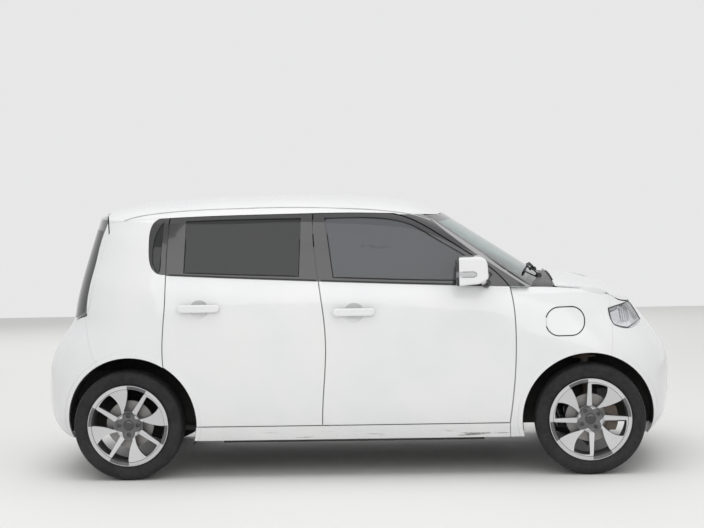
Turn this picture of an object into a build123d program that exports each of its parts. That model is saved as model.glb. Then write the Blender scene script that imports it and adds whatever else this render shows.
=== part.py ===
from build123d import *

import os
from math import atan2, cos, degrees, hypot, pi, radians, sin, tan

# A small five-door electric hatchback.  Millimetres.  +X is forward, +Y is the car's left, +Z is up.
# The origin is on the ground, at the middle of the car's length and width.

# ---------------------------------------------------------------- driving dimensions
LENGTH = 3495.0            # nose to tail
WIDTH = 1660.0             # over the door skins, without the mirrors
ROOF_HEIGHT = 1505.0       # highest point of the roof panel
WHEELBASE = 2475.0
FRONT_OVERHANG = 490.0     # front axle to the nose
TRACK = 1420.0             # between the tyres' centre planes
TYRE_RADIUS = 296.0
TYRE_WIDTH = 175.0
RIM_RADIUS = 218.0         # to the edge of the rim's lip
ARCH_RADIUS = 356.0        # wheel arch edge in the panels
LINER_WALL = 4.0
SHUT_GAP = 6.0             # between a moving panel and its neighbour
JOINT_GAP = 0.6            # between two fixed panels
SEAT_GAP = 0.3             # between a pane or trim and what carries it
SKIN = 20.0                # depth of a panel's outer skin
DOOR_DEPTH = 100.0         # whole door, below the windows
FRAME_DEPTH = 46.0         # window frames, pillars and roof rails
END_DEPTH = 55.0           # tailgate and nose structure
GLASS = 4.0
GLASS_SET = 5.0            # side glass lies this far inside the skin
SILL_BOTTOM = 208.0
DOOR_BOTTOM = 286.0
FLOOR_TOP = 300.0
FLOOR_WALL = 28.0
BULKHEAD_X, BULKHEAD_FRONT = 927.0, 955.0

HALF = LENGTH / 2
HALF_WIDTH = WIDTH / 2
FRONT_AXLE = HALF - FRONT_OVERHANG
REAR_AXLE = FRONT_AXLE - WHEELBASE
WHEEL_Y = TRACK / 2
HUB_Z = TYRE_RADIUS
LINER_RADIUS = ARCH_RADIUS - JOINT_GAP - LINER_WALL    # inside of the black arch liner
SIDES = {"right": -1, "left": 1}
X, Y, Z = Vector(1, 0, 0), Vector(0, 1, 0), Vector(0, 0, 1)
FAR = 3000.0


# ---------------------------------------------------------------- helpers
def smooth(share):
    share = min(1.0, max(0.0, share))
    return share * share * (3 - 2 * share)


def through(*points):
    """A smooth function through (input, output) pairs that adds no bumps, straight past its ends."""
    xs, ys = zip(*points)
    widths = [b - a for a, b in zip(xs, xs[1:])]
    slopes = [(b - a) / w for a, b, w in zip(ys, ys[1:], widths)]
    inner = [0 if a * b <= 0 else 2 * a * b / (a + b) for a, b in zip(slopes, slopes[1:])]
    tangents = [slopes[0], *inner, slopes[-1]]

    def value(x):
        if x <= xs[0]:
            return ys[0] + tangents[0] * (x - xs[0])
        if x >= xs[-1]:
            return ys[-1] + tangents[-1] * (x - xs[-1])
        i = max(k for k, start in enumerate(xs[:-1]) if start <= x)
        t = (x - xs[i]) / widths[i]
        rise = (3 - 2 * t) * t * t
        bend = tangents[i] * t * (1 - t) ** 2 - tangents[i + 1] * t * t * (1 - t)
        return ys[i] * (1 - rise) + ys[i + 1] * rise + widths[i] * bend

    return value


def span(start, end, count):
    return [start + (end - start) * i / (count - 1) for i in range(count)]


def face_of(place, *runs):
    """A flat face whose edge is made of runs of points: two points are a line, more are a smooth curve."""
    edges = []
    for run in runs:
        points = [place(u, v) for u, v in run]
        edges.append(Edge.make_line(*points) if len(points) == 2 else Edge.make_spline(points))
    return Face(Wire(edges))


def side_place(u, v):
    """Outlines seen from the side, drawn beyond the car's right."""
    return Vector(u, -1200, v)


def end_place(u, v):
    """Outlines seen from behind, drawn ahead of the car."""
    return Vector(2200, u, v)


def grown(face, amount):
    """The same outline, grown by an amount, or shrunk by a negative one, with its curves as plain splines."""
    edges = []
    for edge in offset(face, amount, kind=Kind.ARC).faces()[0].outer_wire().edges():
        if edge.geom_type not in (GeomType.LINE, GeomType.CIRCLE):
            edge = Edge.make_spline([edge.position_at(share) for share in span(0, 1, 9)])
        edges.append(edge)
    return Face(Wire(edges))


def block(x0, x1, y0, y1, z0, z1):
    return Pos((x0 + x1) / 2, (y0 + y1) / 2, (z0 + z1) / 2) * Box(abs(x1 - x0), abs(y1 - y0), abs(z1 - z0))


def rod(start, end, radius):
    start, end = Vector(*start), Vector(*end)
    along = end - start
    return Plane(origin=start, z_dir=along) * Cylinder(
        radius, along.length, align=(Align.CENTER, Align.CENTER, Align.MIN)
    )


def only(shape):
    """The largest solid of a result, without crumbs."""
    return max(shape.solids(), key=lambda s: s.volume)


def join(first, *others):
    return only(first.fuse(*others))


def carve(shape, *tools):
    """What is left of a solid, as one solid."""
    for tool in tools:
        shape = only(shape.cut(tool))
    return shape


def within(shape, *tools):
    """The part of a solid that is inside every other one."""
    for tool in tools:
        shape = only(shape.intersect(tool))
    return shape


def mirrored(shape):
    return mirror(shape, about=Plane.XZ)


def pair(shape):
    """A solid of the right side together with its copy on the left."""
    return Compound(children=[shape, mirrored(shape)])


# ---------------------------------------------------------------- the body's outer form
# Everything below is one smooth form: plan sections at many heights, lofted, under a roof or a bonnet.
NOSE_LINE = through(
    (170, 1650), (230, 1702), (300, 1736), (400, HALF), (480, HALF - 1), (574, 1738), (654, 1706),
    (766, 1628), (853, 1560), (940, 1500), (1100, 1430), (1560, 1300),
)
TAIL_LINE = through(
    (170, -1610), (226, -1680), (290, -1728), (390, 1 - HALF), (450, -HALF), (545, -1744), (640, -1726),
    (720, -1686), (790, -1632), (842, -1603), (900, -1590), (975, -1574), (1400, -1440), (1560, -1390),
)
BELT_LINE = through((-1100, 1108), (-800, 1087), (-330, 1060), (150, 1043), (560, 1022), (980, 1003))
HALF_WIDTH_LINE = through(
    (170, HALF_WIDTH - 78), (240, HALF_WIDTH - 42), (320, HALF_WIDTH - 22), (430, HALF_WIDTH - 9),
    (560, HALF_WIDTH - 2), (700, HALF_WIDTH), (850, HALF_WIDTH - 3), (960, HALF_WIDTH - 10),
    (1060, HALF_WIDTH - 18), (1560, HALF_WIDTH - 30),
)
LEVELS = (170, 240, 330, 450, 600, 740, 842, 910, 970, 1020, 1060, 1110, 1200, 1320, 1440, 1560)
MIDDLE = -100.0            # station of the widest section
PLAN_TAPER = 0.05
TUMBLEHOME = tan(radians(15.5))
SHOULDER = 20.0            # how far the side windows lie inside the door skins
NOSE_BULGE = 170.0         # how far the nose's middle stands ahead of its corners
TAIL_BULGE = 125.0
NOSE_SQUARE = through((500, 9.0), (700, 8.5), (850, 6.5), (1000, 5.5), (1500, 5.0))
TAIL_SQUARE = through((500, 7.0), (1500, 6.0))
SECTION_POINTS = 48

ROOF_LINE = through(
    (-1600, 1330), (-1440, ROOF_HEIGHT - 97), (-1365, ROOF_HEIGHT - 65), (-1298, ROOF_HEIGHT - 46),
    (-1163, ROOF_HEIGHT - 27), (-997, ROOF_HEIGHT - 15), (-785, ROOF_HEIGHT - 6), (-500, ROOF_HEIGHT - 1),
    (-381, ROOF_HEIGHT), (-172, ROOF_HEIGHT - 5), (22, ROOF_HEIGHT - 16), (136, ROOF_HEIGHT - 25),
    (313, ROOF_HEIGHT - 52), (386, ROOF_HEIGHT - 75), (451, ROOF_HEIGHT - 103), (600, 1335),
)
ROOF_CROWN = 48.0          # drop from the centre line to the rails
EDGE_DROP = 55.0           # further drop where the top turns down into the sides
EDGE_POWER = 11.0          # how late and how tightly it turns
BONNET_LINE = through(
    (700, 1075), (900, 1058), (1072, 1040), (1166, 1027), (1286, 1001), (1407, 962), (1504, 912),
    (1600, 862), (1760, 775),
)
BONNET_CROWN = 30.0
NOSE_FROM_X = 800.0         # where the front end starts, behind the wings
SCREEN_BASE_X, SCREEN_BASE_Z = 1029.0, 1036.0
SCREEN_SLOPE = 1.535       # run over rise
SCREEN_BULGE = 95.0
SCREEN_EDGE = 620.0


def side_y(x, z, inset):
    """Half width of the body at a station and height."""
    above = z - BELT_LINE(x)
    y = HALF_WIDTH_LINE(z) * (1 - PLAN_TAPER * (abs(x - MIDDLE) / HALF) ** 3.2)
    y -= SHOULDER * smooth((above + 95) / 120)
    lean = max(0.0, above + 10)
    return y - TUMBLEHOME * lean * lean / (lean + 30) - inset(x, z)


def nose_x(y, z):
    return NOSE_LINE(z) - NOSE_BULGE * (y / 800) ** 2


def tail_x(y, z):
    return TAIL_LINE(z) + TAIL_BULGE * (y / 800) ** 2


def section_points(z, inset, end_inset):
    """Points of one plan section, found along rays from the middle: a soft square whose ends bulge."""
    points = []
    for i in range(SECTION_POINTS):
        angle = 2 * pi * (i + 0.5) / SECTION_POINTS - pi
        dx, dy = cos(angle), 0.55 * sin(angle)
        near, far = 0.0, 2500.0
        for _ in range(46):
            reach = (near + far) / 2
            x, y = MIDDLE + reach * dx, reach * dy
            if dx > 0:
                power, end = NOSE_SQUARE(z), nose_x(y, z) - end_inset - MIDDLE
            else:
                power, end = TAIL_SQUARE(z), MIDDLE - tail_x(y, z) - end_inset
            outside = (abs(y) / side_y(x, z, inset)) ** power + (abs(x - MIDDLE) / end) ** power > 1
            near, far = (near, reach) if outside else (reach, far)
        points.append(Vector(MIDDLE + near * dx, near * dy, z))
    return points


def loaf(inset, end_inset):
    """Every section's curve is spaced like the middle one's, which keeps the lofted surface light."""
    rows = [section_points(z, inset, end_inset) for z in LEVELS]
    pattern = rows[len(rows) // 2]
    stations = [0.0]
    for here, following in zip(pattern, pattern[1:] + pattern[:1]):
        stations.append(stations[-1] + (following - here).length)
    curves = [Edge.make_spline(row, parameters=stations, periodic=True) for row in rows]
    return Solid.make_loft([Wire([curve]) for curve in curves])


def half_plan(x, z):
    """Half width of the plan section at a station, with its rounded corners."""
    ahead = x > MIDDLE
    power, end = (NOSE_SQUARE(z), nose_x(0, z) - MIDDLE) if ahead else (TAIL_SQUARE(z), MIDDLE - tail_x(0, z))
    share = min(0.97, abs(x - MIDDLE) / end)
    return side_y(x, z, lambda u, v: 0) * (1 - share**power) ** (1 / power)


def topped(body, line, crown, depth, stations):
    """The loaf under a crowned top whose edges turn down before they meet the sides."""
    shares = (-1.5, -1.2, -1.05, -1, -0.95, -0.88, -0.8, -0.65, -0.45, -0.2)
    rows = []
    for x in stations:
        width = half_plan(x, line(x) - EDGE_DROP) - depth / 2
        row = []
        for share in (*shares, 0, *[-s for s in shares[::-1]]):
            turn = min(1.0, abs(share)) ** EDGE_POWER + EDGE_POWER * max(0.0, abs(share) - 1)
            row.append(Vector(x, share * width, line(x) - depth - crown * share**2 - EDGE_DROP * turn))
        rows.append(row)
    top = Face.make_surface_from_array_of_points(rows, tol=0.5, min_deg=3, max_deg=3)
    return only(body & extrude(top, amount=2600, dir=-Z))


def screen_x(y, z):
    return SCREEN_BASE_X + SCREEN_SLOPE * (SCREEN_BASE_Z - z) - SCREEN_BULGE * (y / SCREEN_EDGE) ** 2


def ahead_of_screen(inset):
    """Everything ahead of the windscreen's surface."""
    back = inset * hypot(1, SCREEN_SLOPE)
    grid = [
        [Vector(screen_x(y, z) - back, y, z) for z in span(120, 1620, 9)] for y in span(-950, 950, 15)
    ]
    face = Face.make_surface_from_array_of_points(grid, tol=0.05, min_deg=3, max_deg=5)
    return extrude(face, amount=FAR, dir=X)


def cabin_form(depth):
    """The passenger body with windscreen and tail, shrunk by a depth all round."""
    body = loaf(lambda x, z: depth, depth)
    return only(topped(body, ROOF_LINE, ROOF_CROWN, depth, span(-1850, 1850, 38)) - ahead_of_screen(depth))


def nose_form(depth):
    """The front end under the bonnet, shrunk by a depth all round."""
    front = within(loaf(lambda x, z: depth, depth), block(NOSE_FROM_X, 1900, -1000, 1000, 0, 1600))
    return topped(front, BONNET_LINE, BONNET_CROWN, depth, span(700, 1850, 20))


def wall_depth(x, z):
    """Doors and sills are deep, window frames and pillars slender."""
    low = 1 - smooth((z - BELT_LINE(x) + 60) / 80)
    return FRAME_DEPTH + (DOOR_DEPTH - FRAME_DEPTH) * low


def side_space():
    """The hollow inside the side walls, the tail and the roof, open ahead."""
    return topped(loaf(wall_depth, END_DEPTH), ROOF_LINE, ROOF_CROWN, FRAME_DEPTH, span(-1850, 1850, 38))


# ---------------------------------------------------------------- panel outlines, seen from the right side
PILLAR_EDGE = [(188, 1409), (324, 1374), (459, 1299), (594, 1212), (735, 1116), (842, 1008)]
FRONT_SHUT = [(842, 1008), (862, 900), (869, 781), (862, 545), (831, DOOR_BOTTOM)]
MIDDLE_SHUT = [(-167, DOOR_BOTTOM), (-159, 441), (-141, 681), (-143, 799), (-174, 1056), (-203, 1415)]
REAR_SHUT = [(-975, 1406), (-993, 1100), (-998, 960), (-1011, 814)]
ROOF_SIDE = [(-1420, 1372), (-1150, 1398), (-975, 1406), (-814, 1411), (-327, 1416), (60, 1414), (188, 1409),
             (324, 1402), (460, 1388)]
BONNET_SIDE = [(940, 1005), (1085, 998), (1200, 986), (1379, 944), (1440, 908), (1506, 888), (1600, 846),
               (1800, 760)]
BUMPER_LINE = [(1373, 150), (1373, 635), (1385, 774), (1381, 875), (1390, 945)]
QUARTER_LINE = [(-1380, 400), (-1401, 666), (-1422, 720), (-1441, 801), (-1460, 882)]
BONNET_REAR_X = 1085.0
SCUTTLE_HALF = 671.0
REAR_ARCH_X, REAR_ARCH_Z = REAR_AXLE + 15, 308.0
FRONT_ARCH_X, FRONT_ARCH_Z = FRONT_AXLE - 5, 296.0
FRAME_INSET = 34.0         # a door's inner box stands this far inside the shut line
OPENING_INSET = 22.0       # and the body's opening behind the skin this far
FRONT_HINGE_X, REAR_HINGE_X = 869.0, -141.0
FRONT_HANDLE, REAR_HANDLE = (14.0, 893.0), (-814.0, 925.0)
HANDLE_LENGTH, HANDLE_HEIGHT, HANDLE_THICK, HANDLE_STAND = 224.0, 42.0, 17.0, 14.0
DISH_RADIUS, DISH_DEPTH = 54.0, 15.0
HINGE_HEIGHTS = (440, 760)
STRAP_INSET, STRAP_DEPTH = 52.0, 26.0    # of the hinge straps, in from the car's widest line
TAIL_TOP_X = -1395.0       # where the roof ends and the tailgate begins, on the centre line
WHEEL_WALL_Y = 452.0       # inner wall of the wheel housings
RAIL_INNER_Y = 550.0       # inner edge of the roof rails
LINER_OUTER_Y = 770.0


def rear_arch_points(start, end, count):
    angles = [radians(a) for a in span(start, end, count)]
    return [(REAR_ARCH_X + ARCH_RADIUS * cos(a), REAR_ARCH_Z + ARCH_RADIUS * sin(a)) for a in angles]


def front_door_outline():
    top = [MIDDLE_SHUT[-1], (60, 1414), PILLAR_EDGE[0]]
    bottom = [FRONT_SHUT[-1], MIDDLE_SHUT[0]]
    return face_of(side_place, top, PILLAR_EDGE, FRONT_SHUT, bottom, MIDDLE_SHUT)


def rear_door_outline():
    arch = rear_arch_points(-3.5, 58, 7)
    return face_of(
        side_place,
        [REAR_SHUT[0], (-814, 1411), (-500, 1415), MIDDLE_SHUT[-1]],
        MIDDLE_SHUT[::-1],
        [MIDDLE_SHUT[0], arch[0]],
        arch,
        [arch[-1], *REAR_SHUT[::-1]],
    )


def front_window_outline():
    top = [(-142, 1391), (51, 1391), (222, 1376), (324, 1347), (459, 1269), (607, 1180), (752, 1075)]
    return face_of(
        side_place, top, [(752, 1075), (722, 1042)], [(722, 1042), (400, 1050), (-97, 1073)],
        [(-97, 1073), (-142, 1391)],
    )


def rear_window_outline():
    return face_of(
        side_place, [(-886, 1388), (-600, 1393), (-266, 1392)], [(-266, 1392), (-277, 1082)],
        [(-277, 1082), (-600, 1096), (-897, 1111)], [(-897, 1111), (-886, 1388)],
    )


def quarter_window_outline():
    return face_of(
        side_place, [(-1006, 1386), (-1045, 1330), (-1068, 1220), (-1060, 1150), (-1028, 1118)],
        [(-1028, 1118), (-1016, 1250), (-1006, 1386)],
    )


def headlamp_outline():
    return face_of(
        side_place, [(1368, 875), (1440, 886), (1506, 887)], [(1506, 887), (1540, 845), (1566, 790)],
        [(1566, 790), (1473, 765), (1398, 787)], [(1398, 787), (1375, 825), (1368, 875)],
    )


def charge_flap_outline():
    flap = Pos(1131, -1200, 820) * Rot(90, 0, 0) * Rectangle(208, 150)
    return fillet(flap.vertices(), 72).faces()[0]


def windscreen_outline():
    """Seen from ahead."""
    side = [(-690, 1005), (-655, 1131), (-607, 1290), (-560, 1392)]
    other = [(-y, z) for y, z in side[::-1]]
    return face_of(end_place, side, [side[-1], (0, 1384), other[0]], other, [other[-1], side[0]])


def tailgate_outline():
    """Seen from behind."""
    upper = [(-560, 1520), (-585, 1330), (-622, 1150), (-655, 960), (-650, 886)]
    lower = [(-520, 850), (-500, 720), (-480, 612)]
    other_lower = [(-y, z) for y, z in lower[::-1]]
    other_upper = [(-y, z) for y, z in upper[::-1]]
    return face_of(
        end_place, upper, [upper[-1], lower[0]], lower, [lower[-1], other_lower[0]], other_lower,
        [other_lower[-1], other_upper[0]], other_upper, [other_upper[-1], upper[0]],
    )


def tail_lamp_outline():
    """Seen from behind, on the right."""
    corners = [(-600, 885), (-500, 885), (-500, 925), (-600, 925), (-600, 885)]
    return face_of(end_place, *[[a, b] for a, b in zip(corners, corners[1:])])


def tail_window_outline():
    """Seen from behind."""
    side = [(-535, 1338), (-572, 1240), (-618, 1060), (-635, 905)]
    other = [(-y, z) for y, z in side[::-1]]
    return face_of(
        end_place, side, [side[-1], (-560, 872), (-400, 863)], [(-400, 863), (400, 863)],
        [(400, 863), (560, 872), other[0]], other, [other[-1], (0, 1352), side[0]],
    )


# ---------------------------------------------------------------- regions of the body
def prism(face, grow=0.0, near=-1250.0, far=-250.0):
    """A side outline carried across the car's right half, grown or shrunk first."""
    if grow:
        face = grown(face, grow)
    return Pos(0, near + 1200, 0) * extrude(face, amount=far - near, dir=Y)


def across(face):
    """A side outline carried across the whole car."""
    return prism(face, near=-1250, far=1250)


def above(points, lift=0.0, top=1900.0):
    """All that is above a curve drawn from the side, which runs on level past its ends."""
    points = [(x, z + lift) for x, z in points]
    start, end = points[0], points[-1]
    return across(face_of(
        side_place, [(-2400, start[1]), start], points, [end, (2400, end[1])], [(2400, end[1]), (2400, top)],
        [(2400, top), (-2400, top)], [(-2400, top), (-2400, start[1])],
    ))


def ahead_of(points, shift=0.0):
    """All that is ahead of a curve drawn from the side, from bottom to top."""
    points = [(x + shift, z) for x, z in points]
    start, end = points[0], points[-1]
    return across(face_of(
        side_place, [(start[0], -400), start], points, [end, (end[0], 1900)], [(end[0], 1900), (2600, 1900)],
        [(2600, 1900), (2600, -400)], [(2600, -400), (start[0], -400)],
    ))


def tailgate_region(grow=0.0):
    """Inside the tailgate's outline and behind its top edge."""
    outline = tailgate_outline()
    if grow:
        outline = grown(outline, grow)
    inside = Pos(-4200, 0, 0) * extrude(outline, amount=1000, dir=X)
    edge = [(TAIL_TOP_X + 70 * (y / 600) ** 2 + grow, y) for y in span(-900, 900, 7)]
    corners = [(-2300, 900), (-2300, -900)]
    behind = face_of(
        lambda u, v: Vector(u, v, 300), edge, [edge[-1], corners[0]], corners, [corners[1], edge[0]]
    )
    return within(inside, extrude(behind, amount=1600, dir=Z))


def rear_bumper_region(grow=0.0):
    line = [(x + grow, z) for x, z in QUARTER_LINE]
    corners = [(-2200, 860), (-2200, 150), (line[0][0], 150)]
    return across(face_of(
        side_place, line, [line[-1], corners[0]], corners[:2], corners[1:], [corners[2], line[0]]
    ))


def wheel_space(x, z, radius, inner=WHEEL_WALL_Y, outer=1100.0, side=-1):
    """A cylinder round a wheel's axle."""
    return rod((x, side * inner, z), (x, side * outer, z), radius)


def screen_region(grow=0.0):
    outline = grown(windscreen_outline(), grow) if grow else windscreen_outline()
    return Pos(-2000, 0, 0) * extrude(outline, amount=3000, dir=X)


# ---------------------------------------------------------------- body panels
def handle(x, z):
    """A bar on two feet, bowed a little, that a hand reaches behind through the dish."""
    skin = -side_y(x, z, lambda u, v: 0)
    out = skin - HANDLE_STAND
    slot = SlotOverall(HANDLE_LENGTH, HANDLE_HEIGHT)
    bar = Pos(x, out, z) * Rot(90, 0, 0) * extrude(slot, amount=HANDLE_THICK)
    bar = fillet(bar.edges(), HANDLE_THICK / 2 - 1)
    foot_x = HANDLE_LENGTH / 2 - HANDLE_HEIGHT / 2
    feet = [
        rod((at, skin + 10, z), (at, out - 4, z), HANDLE_HEIGHT / 2 - 6) for at in (x - foot_x, x + foot_x)
    ]
    return [bar, *feet]


def handle_dish(x, z):
    """A shallow round hollow behind the bar."""
    radius = (DISH_RADIUS**2 + DISH_DEPTH**2) / (2 * DISH_DEPTH)
    skin = -side_y(x, z, lambda u, v: 0)
    return Pos(x, skin - radius + DISH_DEPTH, z) * Sphere(radius)


def door(outline, window, hinge_x, handle_at):
    """A deep inner box behind an outer skin that covers the opening's edge, with hinge straps and handle."""
    slab = carve(within(CABIN, prism(outline, -SHUT_GAP / 2)), SIDE_SPACE, prism(window))
    rim = carve(prism(outline, SHUT_GAP), prism(outline, -FRAME_INSET))
    reach = prism(outline, -OPENING_INSET - SEAT_GAP)
    outer = HALF_WIDTH - STRAP_INSET
    straps = [
        within(reach, block(hinge_x - 90, hinge_x + 10, -outer, STRAP_DEPTH - outer, z - 26, z + 26))
        for z in HINGE_HEIGHTS
    ]
    panel = carve(slab, within(CABIN_SKIN, rim), handle_dish(*handle_at))
    return join(panel, *straps, *handle(*handle_at))


def side_pane(outline):
    return carve(within(GLASS_OUT, prism(outline, -SEAT_GAP)), GLASS_IN)


def body_side():
    """Sill, pillars, window frames behind the doors, and the quarter panel, of the right side."""
    wall = carve(within(CABIN, block(-FAR, 985, -FAR, -RAIL_INNER_Y, SILL_BOTTOM, FAR)), SIDE_SPACE)
    wall = carve(wall, above(ROOF_SIDE, -JOINT_GAP), screen_region(SEAT_GAP), tailgate_region(SHUT_GAP))
    wall = carve(wall, rear_bumper_region(JOINT_GAP), wheel_space(REAR_ARCH_X, REAR_ARCH_Z, ARCH_RADIUS))
    wall = carve(wall, wheel_space(FRONT_ARCH_X, FRONT_ARCH_Z, ARCH_RADIUS), prism(QUARTER_WINDOW, SEAT_GAP))
    wall = carve(wall, prism(FRONT_DOOR, -OPENING_INSET), prism(REAR_DOOR, -OPENING_INSET))
    for outline in (FRONT_DOOR, REAR_DOOR):
        wall = carve(wall, carve(prism(outline, SHUT_GAP / 2), CABIN_REBATE))
    behind_wing = wing_region(JOINT_GAP)
    return carve(wall, carve(behind_wing, CABIN_SKIN), carve(behind_wing, NOSE_SEAT))


def wing_region(shift=0.0):
    """What the right front wing may take, seen from the side."""
    edge = [(x - shift, z) for x, z in FRONT_SHUT[::-1]]
    top = [(x, z) for x, z in BONNET_SIDE if x < 1381] + [BUMPER_LINE[-1]]
    low = [(edge[0][0], 150), (1373, 150)]
    return prism(face_of(
        side_place, [low[0], edge[0]], edge, [edge[-1], top[0]], top, BUMPER_LINE[::-1], [low[1], low[0]]
    ), near=-1250, far=-60)


def front_wing(flap=True):
    panel = carve(within(NOSE, wing_region(-SHUT_GAP / 2)), NOSE_SKIN, above(BONNET_SIDE, -SHUT_GAP / 2))
    panel = carve(panel, block(0, FAR, -FAR, FAR, 0, SILL_BOTTOM))
    panel = carve(panel, block(0, BONNET_REAR_X, -SCUTTLE_HALF - SEAT_GAP, 0, 900, FAR))
    panel = carve(panel, wheel_space(FRONT_ARCH_X, FRONT_ARCH_Z, ARCH_RADIUS), prism(HEADLAMP, SEAT_GAP))
    return carve(panel, prism(FLAP, SHUT_GAP / 2)) if flap else panel


def charge_flap():
    """With the leaf of its hinge at its rear edge."""
    leaf = within(prism(FLAP, SHUT_GAP / 2 - SEAT_GAP), block(900, 1060, -FAR, 0, 798, 842))
    return carve(within(NOSE, join(prism(FLAP, -SHUT_GAP / 2), leaf)), NOSE_LAMP)


def bonnet():
    """With the two leaves of its hinges at its rear edge."""
    rear = BONNET_REAR_X - SHUT_GAP + SEAT_GAP
    leaves = [block(rear, BONNET_REAR_X + 40, side * 530, side * 600, 0, 1600) for side in (-1, 1)]
    cover = join(block(BONNET_REAR_X, 1900, -1000, 1000, 0, 1600), *leaves)
    return within(carve(within(NOSE, cover), NOSE_SKIN), above(BONNET_SIDE, SHUT_GAP / 2))


def front_bumper():
    shell = carve(within(NOSE, ahead_of(BUMPER_LINE, JOINT_GAP)), NOSE_DEEP)
    shell = carve(shell, above(BONNET_SIDE, -SHUT_GAP / 2), block(0, FAR, -FAR, FAR, 0, 176))
    lamp = prism(HEADLAMP, SEAT_GAP)
    arch = wheel_space(FRONT_ARCH_X, FRONT_ARCH_Z, ARCH_RADIUS)
    return carve(shell, lamp, mirrored(lamp), arch, mirrored(arch), grille_region(SEAT_GAP))


def grille_region(grow=0.0):
    """The lower air intake, seen from ahead."""
    width, height = GRILLE_WIDTH + 2 * grow, GRILLE_HEIGHT + 2 * grow
    face = fillet(Rectangle(height, width).vertices(), GRILLE_CORNER + grow).faces()[0]
    return Pos(1300, 0, GRILLE_Z) * Rot(0, 90, 0) * extrude(face, amount=700)


GRILLE_WIDTH, GRILLE_HEIGHT, GRILLE_CORNER, GRILLE_Z = 760.0, 130.0, 40.0, 320.0
GRILLE_BARS = 4
LAMP_DEPTH, LAMP_WALL = 26.0, 5.0


def front_grille():
    """A frame with level bars in the intake."""
    insert = carve(within(NOSE_GRILLE, grille_region()), NOSE_DEEP)
    pitch = (GRILLE_HEIGHT - 20) / (GRILLE_BARS + 1)
    for i in range(GRILLE_BARS + 1):
        z = GRILLE_Z + (i - GRILLE_BARS / 2) * pitch
        wide = GRILLE_WIDTH - (110 if i in (0, GRILLE_BARS) else 40)
        insert = carve(insert, Pos(1600, 0, z) * Box(1200, wide, pitch - 8))
    return insert


def headlamp():
    """An open bowl behind its clear cover."""
    bowl = carve(within(NOSE_LAMP, prism(HEADLAMP)), NOSE_DEEP)
    floor = Pos(-LAMP_DEPTH, LAMP_DEPTH * 0.8, -LAMP_DEPTH * 0.3) * NOSE_LAMP
    return carve(bowl, carve(prism(HEADLAMP, -LAMP_WALL), floor))


def headlamp_cover():
    return carve(within(NOSE, prism(HEADLAMP)), NOSE_COVER)


def rear_bumper():
    shell = carve(within(CABIN, rear_bumper_region()), SPACE, block(-FAR, FAR, -FAR, FAR, 0, 210))
    arch = wheel_space(REAR_ARCH_X, REAR_ARCH_Z, ARCH_RADIUS)
    return carve(shell, tailgate_region(SHUT_GAP), arch, mirrored(arch))


def roof():
    return carve(within(CABIN, above(ROOF_SIDE)), SPACE, screen_region(SEAT_GAP), tailgate_region(SHUT_GAP))


def from_behind(outline, grow=0.0):
    """An outline seen from behind, carried through the tail."""
    return Pos(-4200, 0, 0) * extrude(grown(outline, grow) if grow else outline, amount=1000, dir=X)


def tailgate():
    """With rebates for its window and lamps, and the two leaves of its hinges at its top edge."""
    leaves = [block(-1400, -1300, side * 430, side * 370, 1200, 1600) for side in (-1, 1)]
    leaves = [within(tailgate_region(SHUT_GAP - SEAT_GAP), leaf) for leaf in leaves]
    lid = carve(within(CABIN, join(tailgate_region(), *leaves)), SPACE, from_behind(TAIL_WINDOW, -35))
    slot = carve(from_behind(TAIL_LAMP, SEAT_GAP), CABIN_REBATE)
    return carve(lid, carve(from_behind(TAIL_WINDOW), GLASS_IN), slot, mirrored(slot))


def tailgate_window():
    return carve(within(CABIN, from_behind(TAIL_WINDOW, -SEAT_GAP)), GLASS_OUT)


def windscreen():
    return carve(within(CABIN, block(0, FAR, -FAR, FAR, 0, FAR), screen_region()), GLASS_OUT)


def scuttle_panel():
    """The black tray between the windscreen and the bonnet."""
    tray = block(850, BONNET_REAR_X - SHUT_GAP, -SCUTTLE_HALF, SCUTTLE_HALF, 985, 1200)
    return carve(within(NOSE_GRILLE, tray), CABIN)


# ---------------------------------------------------------------- wheels and running gear
BEAD_RADIUS = 204.0
RIM_WIDTH = 160.0
RIM_WALL = 9.0
DISH_OUTER, DISH_INNER = 54.0, 30.0     # the wheel's hub lies between these, out from its centre plane
HUB_RADIUS = 27.0
DISC_RADIUS = 128.0
DISC_OUTER, DISC_INNER = -2.0, -24.0
BOLT_CIRCLE, BOLT_WELL = 50.0, 10.5
HUB_FACE = 62.0
WHEEL_TURN = {"front": -32.0, "rear": 0.0}     # how each axle's wheels happen to stand
RUNNING_CLEARANCE = 0.3
KNUCKLE_OUTER_Y, KNUCKLE_INNER_Y = 655.0, 575.0
BALL_JOINT = Vector(FRONT_AXLE, -655.0, HUB_Z - 140.0)
STRUT_TOP = Vector(FRONT_AXLE - 25.0, -560.0, 812.0)
STEER_AXIS = (STRUT_TOP - BALL_JOINT).normalized()
TOWER_WALL, TOWER_LIP = 14.0, 10.0
MOUNT_RADIUS = 58.0


def turned(profile):
    """A profile of (out from the wheel's centre plane, radius) turned about the wheel's axle."""
    face = Face(Wire.make_polygon([Vector(0, a, r) for a, r in profile], close=True))
    return revolve(face, Axis.Y, 360)


def tyre():
    half = TYRE_WIDTH / 2
    bead = RIM_WIDTH / 2 - 9 - SEAT_GAP
    side = [
        (bead, BEAD_RADIUS), (bead, RIM_RADIUS + 1), (bead + 8, 224), (half - 1, 243), (half, 256),
        (half - 5, 276), (half - 16, 290),
    ]
    crown = [(half - 30, TYRE_RADIUS - 2.5), (half - 55, TYRE_RADIUS - 0.5)]
    outer = side + crown
    return turned(outer + [(-a, r) for a, r in outer[::-1]])


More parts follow.
